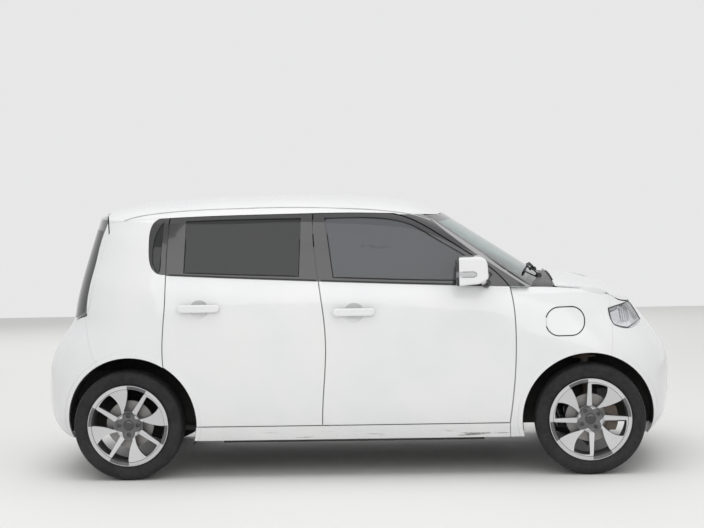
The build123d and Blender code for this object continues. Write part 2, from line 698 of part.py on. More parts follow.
def leaf_pocket():
    """The opening within one leaf of the wheel's face, whose blade is on its clockwise side."""
    outer = [Vector(105, 0, 156), Vector(142, 0, 130), Vector(168, 0, 97)]
    blade = [outer[-1], Vector(137, 0, 62), Vector(92, 0, 40), Vector(60, 0, 34)]
    root = Vector(46, 0, 58)
    edges = [
        Edge.make_spline(outer), Edge.make_spline(blade),
        Edge.make_line(blade[-1], root), Edge.make_line(root, outer[0]),
    ]
    return Face(Wire(edges)).fillet_2d(9, Face(Wire(edges)).vertices())


def leaf_slot():
    """The opening between two leaves."""
    right = [Vector(24, 0, 76), Vector(60, 0, 125), Vector(95, 0, 175)]
    left = [Vector(2, 0, 200), Vector(-4, 0, 140), Vector(-22, 0, 80)]
    edges = [
        Edge.make_spline(right), Edge.make_spline([right[-1], Vector(51, 0, 193), left[0]]),
        Edge.make_spline(left), Edge.make_line(left[-1], right[0]),
    ]
    return Face(Wire(edges)).fillet_2d(8, Face(Wire(edges)).vertices())


def through_wheel(face, angle):
    """An opening cut through the wheel's face, turned about its axle."""
    return Rot(0, angle, 0) * Pos(0, -DISH_INNER + 14, 0) * extrude(face, amount=80, dir=-Y)


def alloy_wheel():
    """Rim, four-leaf face, hub and brake disc of a right-hand wheel about the origin, its face towards -Y."""
    half = RIM_WIDTH / 2
    seat = BEAD_RADIUS - SEAT_GAP
    inside = seat - RIM_WALL
    barrel = [
        (-half, RIM_RADIUS), (-half, inside + 4), (-half + 34, inside - 2), (half - 8, inside),
        (half, inside + 6), (half, RIM_RADIUS), (half - 8, RIM_RADIUS), (half - 9, seat), (9 - half, seat),
        (8 - half, RIM_RADIUS),
    ]
    rim = turned(barrel)
    face = turned([(-DISH_OUTER, 0), (-DISH_OUTER, HUB_FACE), (-DISH_OUTER - 9, HUB_FACE + 10),
                   (-half + 3, inside + 2), (-half + 30, inside + 2), (-DISH_INNER, 90), (-DISH_INNER, 0)])
    hub = rod((0, -DISH_OUTER + 5, 0), (0, WHEEL_Y - KNUCKLE_INNER_Y - 4, 0), HUB_RADIUS)
    hat = rod((0, -DISH_INNER - 4, 0), (0, -DISC_OUTER + 4, 0), 75)
    disc = rod((0, -DISC_OUTER, 0), (0, -DISC_INNER, 0), DISC_RADIUS)
    openings = [through_wheel(shape, 90 * i) for i in range(4) for shape in (leaf_pocket(), leaf_slot())]
    wheel = join(rim, carve(face, *openings))
    well = rod((0, -DISH_OUTER - 5, BOLT_CIRCLE), (0, -DISH_OUTER + 12, BOLT_CIRCLE), BOLT_WELL)
    return carve(join(wheel, hub, hat, disc), *[Rot(0, 90 * i, 0) * well for i in range(4)])


def knuckle():
    """Front upright with its brake caliper and spring strut, of the right side."""
    x, z = FRONT_AXLE, HUB_Z
    barrel = rod((x, -KNUCKLE_INNER_Y, z), (x, -KNUCKLE_OUTER_Y, z), 46)
    foot = rod((x, -640, z - 30), BALL_JOINT + STEER_AXIS * 24, 22)
    ball = rod(BALL_JOINT + STEER_AXIS * 16, BALL_JOINT + STEER_AXIS * 30, 20)
    clamp = rod((x, -590, z + 20), (x - 4, -576, z + 120), 30)
    tube_foot = Vector(x - 4, -574, z + 90)
    tube = rod(tube_foot, STRUT_TOP - Z * 10, 22)
    axis = (STRUT_TOP - tube_foot).normalized()
    seat = rod(STRUT_TOP - axis * 205, STRUT_TOP - axis * 195, 64)
    spring = rod(STRUT_TOP - axis * 198, STRUT_TOP - axis * 12, 50)
    mount = rod(STRUT_TOP - STEER_AXIS * 16, STRUT_TOP, MOUNT_RADIUS)
    arm = rod((x, -600, z - 20), (x - 120, -590, z - 20), 14)
    caliper = carve(
        rod((x, -640, z), (x, -728, z), 150), rod((x, -480, z), (x, -800, z), 92),
        block(x - 400, x + 62, -900, 0, z - 400, z + 400), block(x, x + 400, -900, 0, z + 66, z + 500),
        block(x, x + 400, -900, 0, z - 500, z - 66), rod((x, -681, z), (x, -713, z), DISC_RADIUS + 3),
    )
    bridge = block(x + 30, x + 115, -655, -615, z - 28, z + 28)
    body = join(barrel, foot, ball, clamp, tube, seat, spring, mount, arm, bridge)
    body = join(body, caliper)
    return carve(body, rod((x, -500, z), (x, -665, z), HUB_RADIUS + RUNNING_CLEARANCE))


SUBFRAME_TOP, RACK_Z = 240.0, 254.0
FRAME_INNER_Y = 390.0
ARM_PIVOT_Z = 215.0
BEAM_X = 1600.0
SHAFT_RADIUS = 13.0


def steering_and_arms():
    """Cross member with the lower arms, the ball joints' pins, the steering rack and its track rods."""
    x = FRONT_AXLE
    pin = rod(BALL_JOINT + STEER_AXIS * (16 - SEAT_GAP), BALL_JOINT - STEER_AXIS * 16, 19)
    parts = [
        block(x - 150, x - 30, -330, 330, SUBFRAME_TOP - 50, SUBFRAME_TOP),
        rod((x - 120, -400, RACK_Z), (x - 120, 400, RACK_Z), 20), pin, mirrored(pin),
    ]
    for side in (-1, 1):
        joint = (x, side * 650, BALL_JOINT.Z - 8)
        parts.append(rod((x - 120, side * 380, RACK_Z), (x - 120, side * 505, RACK_Z + 8), 8))
        parts.append(rod((x - 110, side * 300, ARM_PIVOT_Z), joint, 14))
        parts.append(rod((x + 70, side * 330, ARM_PIVOT_Z), joint, 14))
        parts.append(block(x - 100, x + 90, side * 290, side * 330, 200, SUBFRAME_TOP))
    return parts


def front_frame():
    """Longitudinals, strut towers and bumper beam, with the cross member that hangs under them."""
    parts = [within(NOSE_ROOM, block(BEAM_X, BEAM_X + 40, -560, 560, 430, 520)), *steering_and_arms()]
    x, y, z = STRUT_TOP.X, -STRUT_TOP.Y, STRUT_TOP.Z
    for side in (-1, 1):
        rail = block(BULKHEAD_FRONT + SEAT_GAP, BEAM_X + 20, side * FRAME_INNER_Y, side * 440, 430, 520)
        parts.append(rail)
        parts.append(block(x - 90, x + 90, side * 395, side * (y + 70), z - TOWER_LIP, z + TOWER_WALL))
        parts.append(block(x - 90, x + 90, side * 395, side * 410, 500, z + TOWER_WALL))
        parts.append(block(x - 90, x + 90, side * 290, side * 410, SUBFRAME_TOP - 1, 300))
        parts.append(block(x - 90, x + 90, side * FRAME_INNER_Y, side * 410, SUBFRAME_TOP - 1, 460))
    shaft = rod((FRONT_AXLE, -600, HUB_Z), (FRONT_AXLE, 600, HUB_Z), SHAFT_RADIUS + SEAT_GAP)
    strut = rod(STRUT_TOP - STEER_AXIS * 120, STRUT_TOP + STEER_AXIS * SEAT_GAP, MOUNT_RADIUS + 8)
    frame = carve(join(*parts), shaft, strut, mirrored(strut))
    room = LINER_RADIUS + LINER_WALL + JOINT_GAP
    for side in (-1, 1):
        frame = carve(frame, carve(
            wheel_space(FRONT_ARCH_X, FRONT_ARCH_Z, room, WHEEL_WALL_Y - JOINT_GAP, 1200, side),
            block(FRONT_AXLE - 250, FRONT_AXLE + 250, -1300, 1300, 0, 420),
        ))
    return frame


ARM_PIVOT = (REAR_AXLE + 390.0, 520.0, 238.0)
ARM_EYE_RADIUS, ARM_EYE_HALF = 26.0, 42.0


def rear_axle():
    """Beam axle with trailing arms, dampers and the stub barrels that carry the wheels."""
    x = REAR_AXLE
    parts = [rod((x + 40, -560, HUB_Z), (x + 40, 560, HUB_Z), 32)]
    px, py, pz = ARM_PIVOT
    for side in (-1, 1):
        inner, outer = side * KNUCKLE_INNER_Y, side * KNUCKLE_OUTER_Y
        parts.append(rod((x, inner, HUB_Z), (x, outer, HUB_Z), 50))
        parts.append(block(x - 30, x + 70, side * 545, side * 600, HUB_Z - 34, HUB_Z + 34))
        parts.append(rod((x, side * 565, HUB_Z), (px, side * py, pz), 18))
        eye = side * (py - ARM_EYE_HALF), side * (py + ARM_EYE_HALF)
        parts.append(rod((px, eye[0], pz), (px, eye[1], pz), ARM_EYE_RADIUS))
        parts.append(rod((x - 40, side * 572, HUB_Z + 20), (x - 70, side * 520, 511), 24))
    beam = join(*parts)
    bore = rod((x, -700, HUB_Z), (x, -540, HUB_Z), HUB_RADIUS + RUNNING_CLEARANCE)
    return carve(beam, bore, mirrored(bore))


def wheel_arch_liner(x, z, *openings):
    """Black shell inside a wheel arch, of the right side, with openings for the suspension."""
    shell = carve(
        wheel_space(x, z, LINER_RADIUS + LINER_WALL, WHEEL_WALL_Y, LINER_OUTER_Y),
        wheel_space(x, z, LINER_RADIUS, WHEEL_WALL_Y + LINER_WALL, 1200),
        block(x - 600, x + 600, -1200, 0, -100, z - 60), *openings,
    )
    return within(shell, CABIN_SKIN if x < 0 else NOSE_SKIN)


def front_liner():
    strut = rod(STRUT_TOP - Z * 260, STRUT_TOP, 96)
    arms = block(FRONT_AXLE - 200, FRONT_AXLE + 120, -500, -400, 0, 420)
    return wheel_arch_liner(FRONT_ARCH_X, FRONT_ARCH_Z, strut, arms)


def rear_liner():
    axle = block(REAR_AXLE - 60, REAR_AXLE + 140, -500, -400, 0, 380)
    arm = block(REAR_AXLE + 240, REAR_AXLE + 400, -580, -400, 0, 330)
    damper = rod((REAR_AXLE - 66, -526, 480), (REAR_AXLE - 76, -510, 620), 44)
    return wheel_arch_liner(REAR_ARCH_X, REAR_ARCH_Z, axle, arm, damper)


# ---------------------------------------------------------------- structure and cabin
def underbody():
    """Floor, heel board, load floor, rear panel and bulkhead, with the lugs of the rear axle's arms."""
    floor = block(-905, BULKHEAD_FRONT, -745, 745, FLOOR_TOP - FLOOR_WALL, FLOOR_TOP)
    heel = block(-905, -877, -745, 745, FLOOR_TOP - FLOOR_WALL, 540)
    load = block(-1650, -880, -745, 745, 512, 540)
    back = block(-1650, -1622, -700, 700, 500, 600)
    dash = block(BULKHEAD_X, BULKHEAD_FRONT, -745, 745, FLOOR_TOP - FLOOR_WALL, 975)
    shell = within(join(floor, heel, load, back, dash), SPACE_FLOOR)
    px, py, pz = ARM_PIVOT
    room = LINER_RADIUS + LINER_WALL + JOINT_GAP
    for x, z in ((REAR_ARCH_X, REAR_ARCH_Z), (FRONT_ARCH_X, FRONT_ARCH_Z)):
        for side in (-1, 1):
            shell = carve(shell, wheel_space(x, z, room, WHEEL_WALL_Y - JOINT_GAP, 1200, side))
    lugs = [
        block(px - 30, px + 30, side * lug, side * (lug + 10), pz - 24, FLOOR_TOP - 5)
        for side in (-1, 1) for lug in (py - ARM_EYE_HALF - 10 - SEAT_GAP, py + ARM_EYE_HALF + SEAT_GAP)
    ]
    return join(shell, *lugs)


def drive_unit():
    """Motor and gearbox as one block, with its shafts towards the front wheels."""
    parts = [block(FRONT_AXLE - 90, FRONT_AXLE + 215, -260, 260, 252, 560)]
    for side in (-1, 1):
        mount_end = side * (FRAME_INNER_Y - SEAT_GAP)
        parts.append(block(FRONT_AXLE + 80, FRONT_AXLE + 150, side * 250, mount_end, 440, 500))
        parts.append(rod((FRONT_AXLE, side * 250, HUB_Z), (FRONT_AXLE, side * 530, HUB_Z), SHAFT_RADIUS))
        parts.append(rod((FRONT_AXLE, side * 505, HUB_Z), (FRONT_AXLE, side * 548, HUB_Z), 34))
    return join(*parts)


def battery_pack():
    return block(-740, 700, -470, 470, 150, FLOOR_TOP - FLOOR_WALL - SEAT_GAP)


SEAT_Y = 350.0
SEAT_X = 40.0


def front_seat():
    """Cushion, reclined back and head restraint as one padded form, of the right side."""
    cushion = fillet(block(SEAT_X - 230, SEAT_X + 270, -SEAT_Y - 235, -SEAT_Y + 235, 400, 520).edges(), 40)
    back = fillet(Box(110, 460, 620).edges(), 40)
    back = Pos(SEAT_X - 245, -SEAT_Y, 780) * Rot(0, -18, 0) * back
    head = Pos(SEAT_X - 365, -SEAT_Y, 1130) * Rot(0, -14, 0) * fillet(Box(90, 250, 190).edges(), 35)
    base = block(SEAT_X - 180, SEAT_X + 200, -SEAT_Y - 190, -SEAT_Y + 190, FLOOR_TOP + SEAT_GAP, 410)
    return join(cushion, back, head, base)


def rear_seat():
    cushion = fillet(block(-840, -400, -600, 600, 420, 520).edges(), 35)
    back = Pos(-865, 0, 835) * Rot(0, -14, 0) * fillet(Box(110, 1200, 540).edges(), 40)
    base = block(-840, -460, -560, 560, FLOOR_TOP + SEAT_GAP, 430)
    seat = join(cushion, back, base, block(-875, -800, -440, 440, 430, 640))
    room = wheel_space(REAR_ARCH_X, REAR_ARCH_Z, LINER_RADIUS + LINER_WALL + 4)
    return carve(seat, room, mirrored(room))


def dashboard():
    shelf = fillet(block(620, BULKHEAD_X - SEAT_GAP, -690, 690, 800, 960).edges().filter_by(Axis.Y), 50)
    hood = fillet(block(600, 760, 190, 520, 900, 1010).edges().filter_by(Axis.Y), 40)
    panel = within(join(shelf, hood, block(640, 924, -90, 90, 420, 840)), SPACE_FLOOR)
    return carve(panel, column_plane() * Pos(0, 0, -200) * Cylinder(COLUMN_RADIUS + RUNNING_CLEARANCE, 400))


WHEEL_CENTRE = Vector(420.0, 350.0, 920.0)
COLUMN_TILT = 24.0
COLUMN_RADIUS = 22.0


def column_plane():
    """At the steering wheel's centre, its z axis up the column towards the driver."""
    tilt = radians(COLUMN_TILT)
    return Plane(origin=WHEEL_CENTRE, x_dir=Y, z_dir=Vector(-cos(tilt), 0, sin(tilt)))


def steering_wheel():
    """Rim, hub and spokes about a column that slopes down ahead."""
    ring = Torus(175, 15)
    hub = Pos(0, 0, -10) * Cylinder(62, 45)
    spokes = [Rot(0, 0, a) * Pos(95, 0, -4) * Box(165, 34, 16) for a in (0, 180, 270)]
    column = Pos(0, 0, -140) * Cylinder(COLUMN_RADIUS, 240)
    return column_plane() * join(ring, hub, *spokes, column)


MIRROR_BOX = (556.0, 726.0, -1022.0, -842.0, 1031.0, 1182.0)
MIRROR_CORNERS = [12.0, 32.0, 44.0, 22.0, 30.0]


def door_mirror():
    """Housing with its hollow for the glass, and the arm that seats it on the door, of the right side."""
    x0, x1, y0, y1, z0, z1 = MIRROR_BOX
    corners = [(x0, z0), (x0 - 2, z1 - 2), (x1 - 8, z1), (x1, z0 + 36), (x1 - 50, z0 + 10)]
    side = FilletPolyline(*[side_place(x, z) for x, z in corners], radius=MIRROR_CORNERS, close=True)
    shell = Pos(0, y0 + 1200, 0) * extrude(Face(Wire(side.edges())), amount=y1 - y0, dir=Y)
    ends = shell.faces().filter_by(Axis.Y).sort_by(Axis.Y)
    shell = fillet(ends[0].edges(), 11)
    shell = fillet(shell.faces().filter_by(Axis.Y).sort_by(Axis.Y)[-1].edges(), 8)
    hollow = fillet(block(x0 - 40, x0 + 14, y0 + 16, y1 - 16, z0 + 16, z1 - 18).edges().filter_by(Axis.X), 34)
    arm = rod((718, -730, 1016), (692, -895, 1058), 18)
    foot = rod((724, -740, 1024), (716, -800, 1030), 24)
    return carve(join(shell, arm, foot), hollow, DOOR_SEAT)


def tail_lamp():
    """A lamp behind the lower corner of the tail window, of the right side."""
    return carve(within(GLASS_IN, from_behind(TAIL_LAMP)), CABIN_REBATE)


def charge_port():
    """Recess with its socket behind the flap."""
    tilt = Rot(0, 0, 14.5)
    cup = carve(within(NOSE_SKIN, prism(FLAP, 8)), NOSE_DEEP)
    outward = Pos(1131, -745, 820) * tilt * Pos(0, -150, 0) * Box(500, 300, 400)
    pocket = within(outward, prism(FLAP, -6))
    socket = Pos(1131, -745, 820) * tilt * Rot(90, 0, 0) * Cylinder(34, 36)
    return join(carve(cup, pocket), within(socket, NOSE_SKIN))


# ---------------------------------------------------------------- forms
CABIN = cabin_form(0)
GLASS_OUT = cabin_form(GLASS_SET)
GLASS_IN = cabin_form(GLASS_SET + GLASS)
CABIN_SKIN = cabin_form(SKIN)
CABIN_REBATE = cabin_form(SKIN + 6)
SIDE_SPACE = side_space()
SPACE = only(SIDE_SPACE - ahead_of_screen(FRAME_DEPTH))
NOSE = nose_form(0)
NOSE_COVER = nose_form(3)
NOSE_LAMP = nose_form(6)
NOSE_GRILLE = nose_form(12)
NOSE_SKIN = nose_form(SKIN - JOINT_GAP)
NOSE_SEAT = nose_form(SKIN)
NOSE_DEEP = nose_form(END_DEPTH)
NOSE_ROOM = nose_form(END_DEPTH + SEAT_GAP)

FRONT_DOOR = front_door_outline()
REAR_DOOR = rear_door_outline()
FRONT_WINDOW = front_window_outline()
REAR_WINDOW = rear_window_outline()
QUARTER_WINDOW = quarter_window_outline()
HEADLAMP = headlamp_outline()
FLAP = charge_flap_outline()
TAIL_WINDOW = tail_window_outline()
TAIL_LAMP = tail_lamp_outline()
SPACE_FLOOR = loaf(lambda x, z: wall_depth(x, z) + JOINT_GAP, END_DEPTH + JOINT_GAP)
DOOR_SEAT = cabin_form(-SEAT_GAP)


def wheel_at(piece, x, side, turn=0.0):
    """A right-hand wheel piece placed on its axle, mirrored for the left."""
    piece = Rot(0, turn, 0) * piece
    return Pos(x, side * WHEEL_Y, HUB_Z) * (mirrored(piece) if side > 0 else piece)


def both_sides(name, solid):
    """One node for each side of the car from a solid of the right side."""
    return {f"{name}_right": solid, f"{name}_left": mirrored(solid)}


def all_nodes():
    flank = body_side()
    front = door(FRONT_DOOR, FRONT_WINDOW, FRONT_HINGE_X, FRONT_HANDLE)
    rear = door(REAR_DOOR, REAR_WINDOW, REAR_HINGE_X, REAR_HANDLE)
    right_wing = front_wing()
    left_wing = mirrored(front_wing(flap=False))
    rim, rubber = alloy_wheel(), tyre()
    nodes = {
        **both_sides("body_side", flank),
        "roof": roof(),
        "underbody": underbody(),
        "front_wing_right": right_wing,
        "front_wing_left": left_wing,
        "front_bumper": front_bumper(),
        "front_grille": front_grille(),
        "rear_bumper": rear_bumper(),
        "windscreen": windscreen(),
        "quarter_windows": pair(side_pane(QUARTER_WINDOW)),
        "headlamps": pair(headlamp()),
        "headlamp_covers": pair(headlamp_cover()),
        "scuttle_panel": scuttle_panel(),
        "dashboard": dashboard(),
        "steering_wheel": steering_wheel(),
        "front_seats": pair(front_seat()),
        "rear_seat": rear_seat(),
        "front_arch_liners": pair(front_liner()),
        "rear_arch_liners": pair(rear_liner()),
        "drive_unit": drive_unit(),
        "battery_pack": battery_pack(),
        "front_frame": front_frame(),
        "rear_axle": rear_axle(),
        "charge_port": charge_port(),
        **both_sides("front_door", front),
        **both_sides("rear_door", rear),
        **both_sides("front_window", side_pane(FRONT_WINDOW)),
        **both_sides("rear_window", side_pane(REAR_WINDOW)),
        **both_sides("door_mirror", door_mirror()),
        "tailgate": tailgate(),
        "tailgate_window": tailgate_window(),
        "tail_lamps": pair(tail_lamp()),
        "bonnet": bonnet(),
        "charge_flap": charge_flap(),
        **both_sides("knuckle", knuckle()),
    }
    for end, x in (("front", FRONT_AXLE), ("rear", REAR_AXLE)):
        for name, side in SIDES.items():
            nodes[f"wheel_{end}_{name}"] = wheel_at(rim, x, side, WHEEL_TURN[end])
            nodes[f"tyre_{end}_{name}"] = wheel_at(rubber, x, side)
    return nodes


os.makedirs("parts", exist_ok=True)
for node, solid in all_nodes().items():
    export_step(solid, f"parts/{node}.step", write_pcurves=False)
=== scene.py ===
# %% [markdown]
# This script dresses a small white five-door electric car.  The solid parts come from CAD as a fixed
# frame that is never moved.  Here they get their finishes, and the small things that a CAD model leaves
# out: tread, seals, wheel bolts, lamp innards, wipers, mirror glass, padded seats and road dirt.

# %% Load the frame
import math

import bmesh
import bpy
from mathutils import Matrix, Vector
from mathutils.bvhtree import BVHTree


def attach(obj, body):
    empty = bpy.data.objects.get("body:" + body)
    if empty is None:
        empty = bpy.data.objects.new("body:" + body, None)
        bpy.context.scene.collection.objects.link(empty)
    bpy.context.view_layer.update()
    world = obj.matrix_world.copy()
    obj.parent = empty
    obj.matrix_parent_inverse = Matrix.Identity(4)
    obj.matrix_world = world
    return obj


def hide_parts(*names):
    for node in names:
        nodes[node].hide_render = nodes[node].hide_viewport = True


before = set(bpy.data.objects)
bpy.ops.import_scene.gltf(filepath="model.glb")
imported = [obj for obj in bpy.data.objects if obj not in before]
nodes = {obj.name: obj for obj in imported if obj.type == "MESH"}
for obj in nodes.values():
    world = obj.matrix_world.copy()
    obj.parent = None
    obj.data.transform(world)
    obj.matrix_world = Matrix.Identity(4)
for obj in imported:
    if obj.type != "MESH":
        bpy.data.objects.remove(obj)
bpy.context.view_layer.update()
scene = bpy.context.scene
SIDES = {"right": -1, "left": 1}

# %% [markdown]
# Materials are built from shader nodes.  A Value is one output inside a node tree, and its arithmetic
# adds Math nodes, so a mask is written as the sum that it is.  MapRange nodes make the soft steps, and
# Mix nodes choose between two colours or two numbers.

# %% Shader values
EDGE = 0.0012


def joined(value, socket):
    """Links a socket to another node's output, or sets it to a plain value."""
    value = value.socket if isinstance(value, Value) else value
    if isinstance(value, bpy.types.NodeSocket):
        socket.id_data.links.new(value, socket)
    else:
        socket.default_value = value


def fill(made, **inputs):
    """Sets or links a node's inputs by name; an underscore in a name stands for a space."""
    for name, value in inputs.items():
        joined(value, made.inputs[name.replace("_", " ")])
    return made


def node(tree, kind, inputs=None, **settings):
    """A shader node with its settings and inputs."""
    made = tree.nodes.new(kind)
    for name, value in settings.items():
        setattr(made, name, value)
    for key, value in (inputs or {}).items():
        joined(value, made.inputs[key])
    return made


class Value:
    """One output inside a node tree, whose arithmetic adds Math nodes."""

    def __init__(self, tree, socket):
        self.tree, self.socket = tree, socket

    def math(self, operation, other=0.0, clamp=False):
        made = node(self.tree, "ShaderNodeMath", {0: self, 1: other}, operation=operation, use_clamp=clamp)
        return Value(self.tree, made.outputs[0])

    def __add__(self, other):
        return self.math("ADD", other)

    def __sub__(self, other):
        return self.math("SUBTRACT", other)

    def __rsub__(self, other):
        made = node(self.tree, "ShaderNodeMath", {0: other, 1: self}, operation="SUBTRACT")
        return Value(self.tree, made.outputs[0])

    def __mul__(self, other):
        return self.math("MULTIPLY", other)

    def __truediv__(self, other):
        return self.math("DIVIDE", other)

    def __pow__(self, other):
        return self.math("POWER", other)

    def __abs__(self):
        return self.math("ABSOLUTE")

    def most(self, other):
        return self.math("MAXIMUM", other)

    def ramp(self, start, end, low=0.0, high=1.0):
        """Carried smoothly from one range to another, and held past its ends."""
        inputs = {"Value": self, "From Min": start, "From Max": end, "To Min": low, "To Max": high}
        made = node(self.tree, "ShaderNodeMapRange", inputs, interpolation_type="SMOOTHSTEP")
        return Value(self.tree, made.outputs["Result"])

    def over(self, limit):
        """1 where it is past a limit, with a narrow soft edge."""
        return (self - limit).ramp(-EDGE, EDGE)

    def under(self, limit):
        return 1.0 - self.over(limit)

    def mixed(self, a, b, kind):
        made = node(self.tree, "ShaderNodeMix", {"Factor": self, "A": a, "B": b}, data_type=kind)
        return Value(self.tree, made.outputs["Result"])

    def blend(self, a, b):
        """A colour between two others."""
        return self.mixed(a, b, "RGBA")

    def between(self, a, b):
        """A number between two others."""
        return self.mixed(a, b, "FLOAT")


def split(tree, vector):
    """X, Y and Z of a vector."""
    return [Value(tree, part) for part in node(tree, "ShaderNodeSeparateXYZ", {0: vector}).outputs]


def finish(name, **settings):
    """A material, its node tree and its shader, whose plain sockets are set by name."""
    material = bpy.data.materials.new(name)
    material.use_nodes = True
    shader = material.node_tree.nodes["Principled BSDF"]
    return material, material.node_tree, fill(shader, **settings)


print("soft edge of a mask:", EDGE * 1000, "mm")

# %% [markdown]
# New pieces are made with bmesh operators and finished as objects at the origin.  Most begin as a
# rounded block or as a profile turned about an axis, so those two have a function each.  Every piece
# rides on a body of the frame and gets its material.

# %% Making pieces
def linked(obj):
    scene.collection.objects.link(obj)
    return obj


def finish_mesh(name, bm, material, angle=35.0):
    """A bmesh made into an object at the origin, smooth where its faces meet at less than an angle."""
    mesh = bpy.data.meshes.new(name)
    bm.to_mesh(mesh)
    bm.free()
    mesh.materials.append(material)
    mesh.shade_smooth()
    mesh.set_sharp_from_angle(angle=math.radians(angle))
    return linked(bpy.data.objects.new(name, mesh))


def fasten(piece, body, replaced=None):
    """Says which body carries a piece and which CAD node it replaces."""
    if replaced:
        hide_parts(replaced)
    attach(piece, body)
    return piece


def bevelled(bm, edges, offset, segments):
    bmesh.ops.bevel(bm, geom=edges, offset=offset, offset_type="OFFSET", segments=segments, profile=0.5,
                    material=-1, affect="EDGES")


def moved(bm, place):
    bmesh.ops.translate(bm, verts=bm.verts, vec=place)


def rotated(bm, degrees, axis):
    turn = Matrix.Rotation(math.radians(degrees), 3, axis)
    bmesh.ops.rotate(bm, cent=(0, 0, 0), matrix=turn, verts=bm.verts)


def block(size, place=None, corner=0.0, segments=4):
    """A box of some size with rounded edges."""
    bm = bmesh.new()
    bmesh.ops.create_cube(bm, size=1.0)
    bmesh.ops.scale(bm, vec=size, verts=bm.verts)
    if corner:
        bevelled(bm, bm.edges[:], corner, segments)
    if place:
        moved(bm, place)
    return bm


def running(bm, axis, least):
    """The edges that run along an axis (0, 1 or 2) for more than some length."""
    return [e for e in bm.edges if abs((e.verts[0].co - e.verts[1].co)[axis]) > least]


def merge_into(target, bm):
    """Adds one bmesh to another."""
    mesh = bpy.data.meshes.new("part")
    bm.to_mesh(mesh)
    bm.free()
    target.from_mesh(mesh)
    bpy.data.meshes.remove(mesh)


def along_axle(profile, centre, side):
    """An open bmesh line of (out from the wheel's plane, radius) in millimetres, over the axle."""
    bm = bmesh.new()
    line = [bm.verts.new(centre + Vector((0, side * a / 1000, r / 1000))) for a, r in profile]
    for first, second in zip(line, line[1:]):
        bm.edges.new((first, second))
    return bm, line


def full_turn(bm, centre, steps):
    """Turns a line about an axis along Y."""
    bmesh.ops.spin(bm, geom=bm.verts[:] + bm.edges[:], cent=centre, axis=(0, 1, 0), angle=2 * math.pi,
                   steps=steps, use_merge=True)
    bmesh.ops.remove_doubles(bm, verts=bm.verts, dist=1e-6)
    bmesh.ops.recalc_face_normals(bm, faces=bm.faces)


def turned_piece(profile, steps=32):
    """A bmesh turned about Y from (height along Y, radius) in millimetres, closed at its poles."""
    bm, line = along_axle(profile, Vector((0, 0, 0)), 1)
    full_turn(bm, Vector((0, 0, 0)), steps)
    return bm


def rounded_outline(half_x, half_y, corner, count):
    """Points round a rectangle about the origin, with count of them on each round corner."""
    points = []
    for sx, sy, start in ((1, 1, 0), (-1, 1, 90), (-1, -1, 180), (1, -1, 270)):
        for i in range(count):
            angle = math.radians(start + 90 / (count - 1) * i)
            points.append((sx * (half_x - corner) + corner * math.cos(angle),
                           sy * (half_y - corner) + corner * math.sin(angle)))
    return points


print("sides:", sorted(SIDES))

# %% [markdown]
# The car stands on a plain pale floor under soft light.  One broad lamp hangs overhead, and a second
# lies low on the near side, so that the flanks are lit as evenly as under a grey sky.  The sky gives
# less light low on the far side, where a row of trees would stand.  Rays from the camera, off metal and
# through glass see the backdrop's own pale colour instead, which adds no light to the car.

# %% Floor, sky and lamps
SKY_LIGHT = 0.62
TREES_SHADE = 0.80
BACKDROP = 0.80
FLOOR_REACH = 10.0
# name: (place, target, size, power, seen in reflections)
LAMPS = {
    "overhead": ((0.0, -1.0, 6.5), (0, 0, 0.6), (9.0, 7.0), 230.0, False),
    "near_side": ((1.0, -9.0, 4.0), (0, 0, 0.7), (12.0, 5.0), 210.0, True),
    "far_side": ((-2.0, 8.0, 4.0), (0, 0, 0.7), (10.0, 4.0), 130.0, False),
}


def lamp(name, place, target, size, power, mirrored):
    data = bpy.data.lights.new(name, "AREA")
    data.shape = "RECTANGLE"
    data.size, data.size_y, data.energy = *size, power
    obj = linked(bpy.data.objects.new(name, data))
    obj.location = place
    obj.rotation_euler = (Vector(target) - Vector(place)).to_track_quat("-Z", "Y").to_euler()
    obj.visible_glossy = mirrored


def sky():
    world = bpy.data.worlds.new("grey_sky")
    scene.world = world
    world.use_nodes = True
    tree = world.node_tree
    x, y, z = split(tree, node(tree, "ShaderNodeTexCoord").outputs["Generated"])
    trees = y.ramp(0.25, 0.65) * z.ramp(0.24, 0.07)
    strength = SKY_LIGHT - trees * (SKY_LIGHT * TREES_SHADE)
    light = node(tree, "ShaderNodeBackground", {"Color": (1, 1, 1, 1), "Strength": strength})
    pale = (BACKDROP, BACKDROP, BACKDROP * 1.01, 1)
    shown = node(tree, "ShaderNodeBackground", {"Color": pale, "Strength": 1.0})
    path = node(tree, "ShaderNodeLightPath").outputs
    seen = Value(tree, path["Is Camera Ray"]) + path["Is Glossy Ray"] + path["Is Transmission Ray"]
    factor = seen.math("MINIMUM", 1.0)
    mix = node(tree, "ShaderNodeMixShader", {0: factor, 1: light.outputs[0], 2: shown.outputs[0]})
    joined(mix.outputs[0], tree.nodes["World Output"].inputs["Surface"])


def floor():
    material = finish("pale_floor", Base_Color=(0.80, 0.80, 0.79, 1), Roughness=0.75)[0]
    bm = bmesh.new()
    bmesh.ops.create_grid(bm, x_segments=1, y_segments=1, size=FLOOR_REACH)
    finish_mesh("floor", bm, material)


sky()
floor()
for name, settings in LAMPS.items():
    lamp(name, *settings)
scene.view_settings.view_transform = "Standard"
print("studio:", len(LAMPS), "lamps")

# %% [markdown]
# The camera stands about ten metres off the car's right side, a little ahead of its middle and at
# standing eye height.  It looks slightly down and leans a little, and a long lens keeps the side flat.

# %% Camera
EYE = Vector((0.506, -10.427, 1.685))
YAW, PITCH, LEAN = (math.radians(angle) for angle in (-2.96, -3.2, -1.26))
LENS, SENSOR, FARTHEST = 93.05, 36.0, 200.0


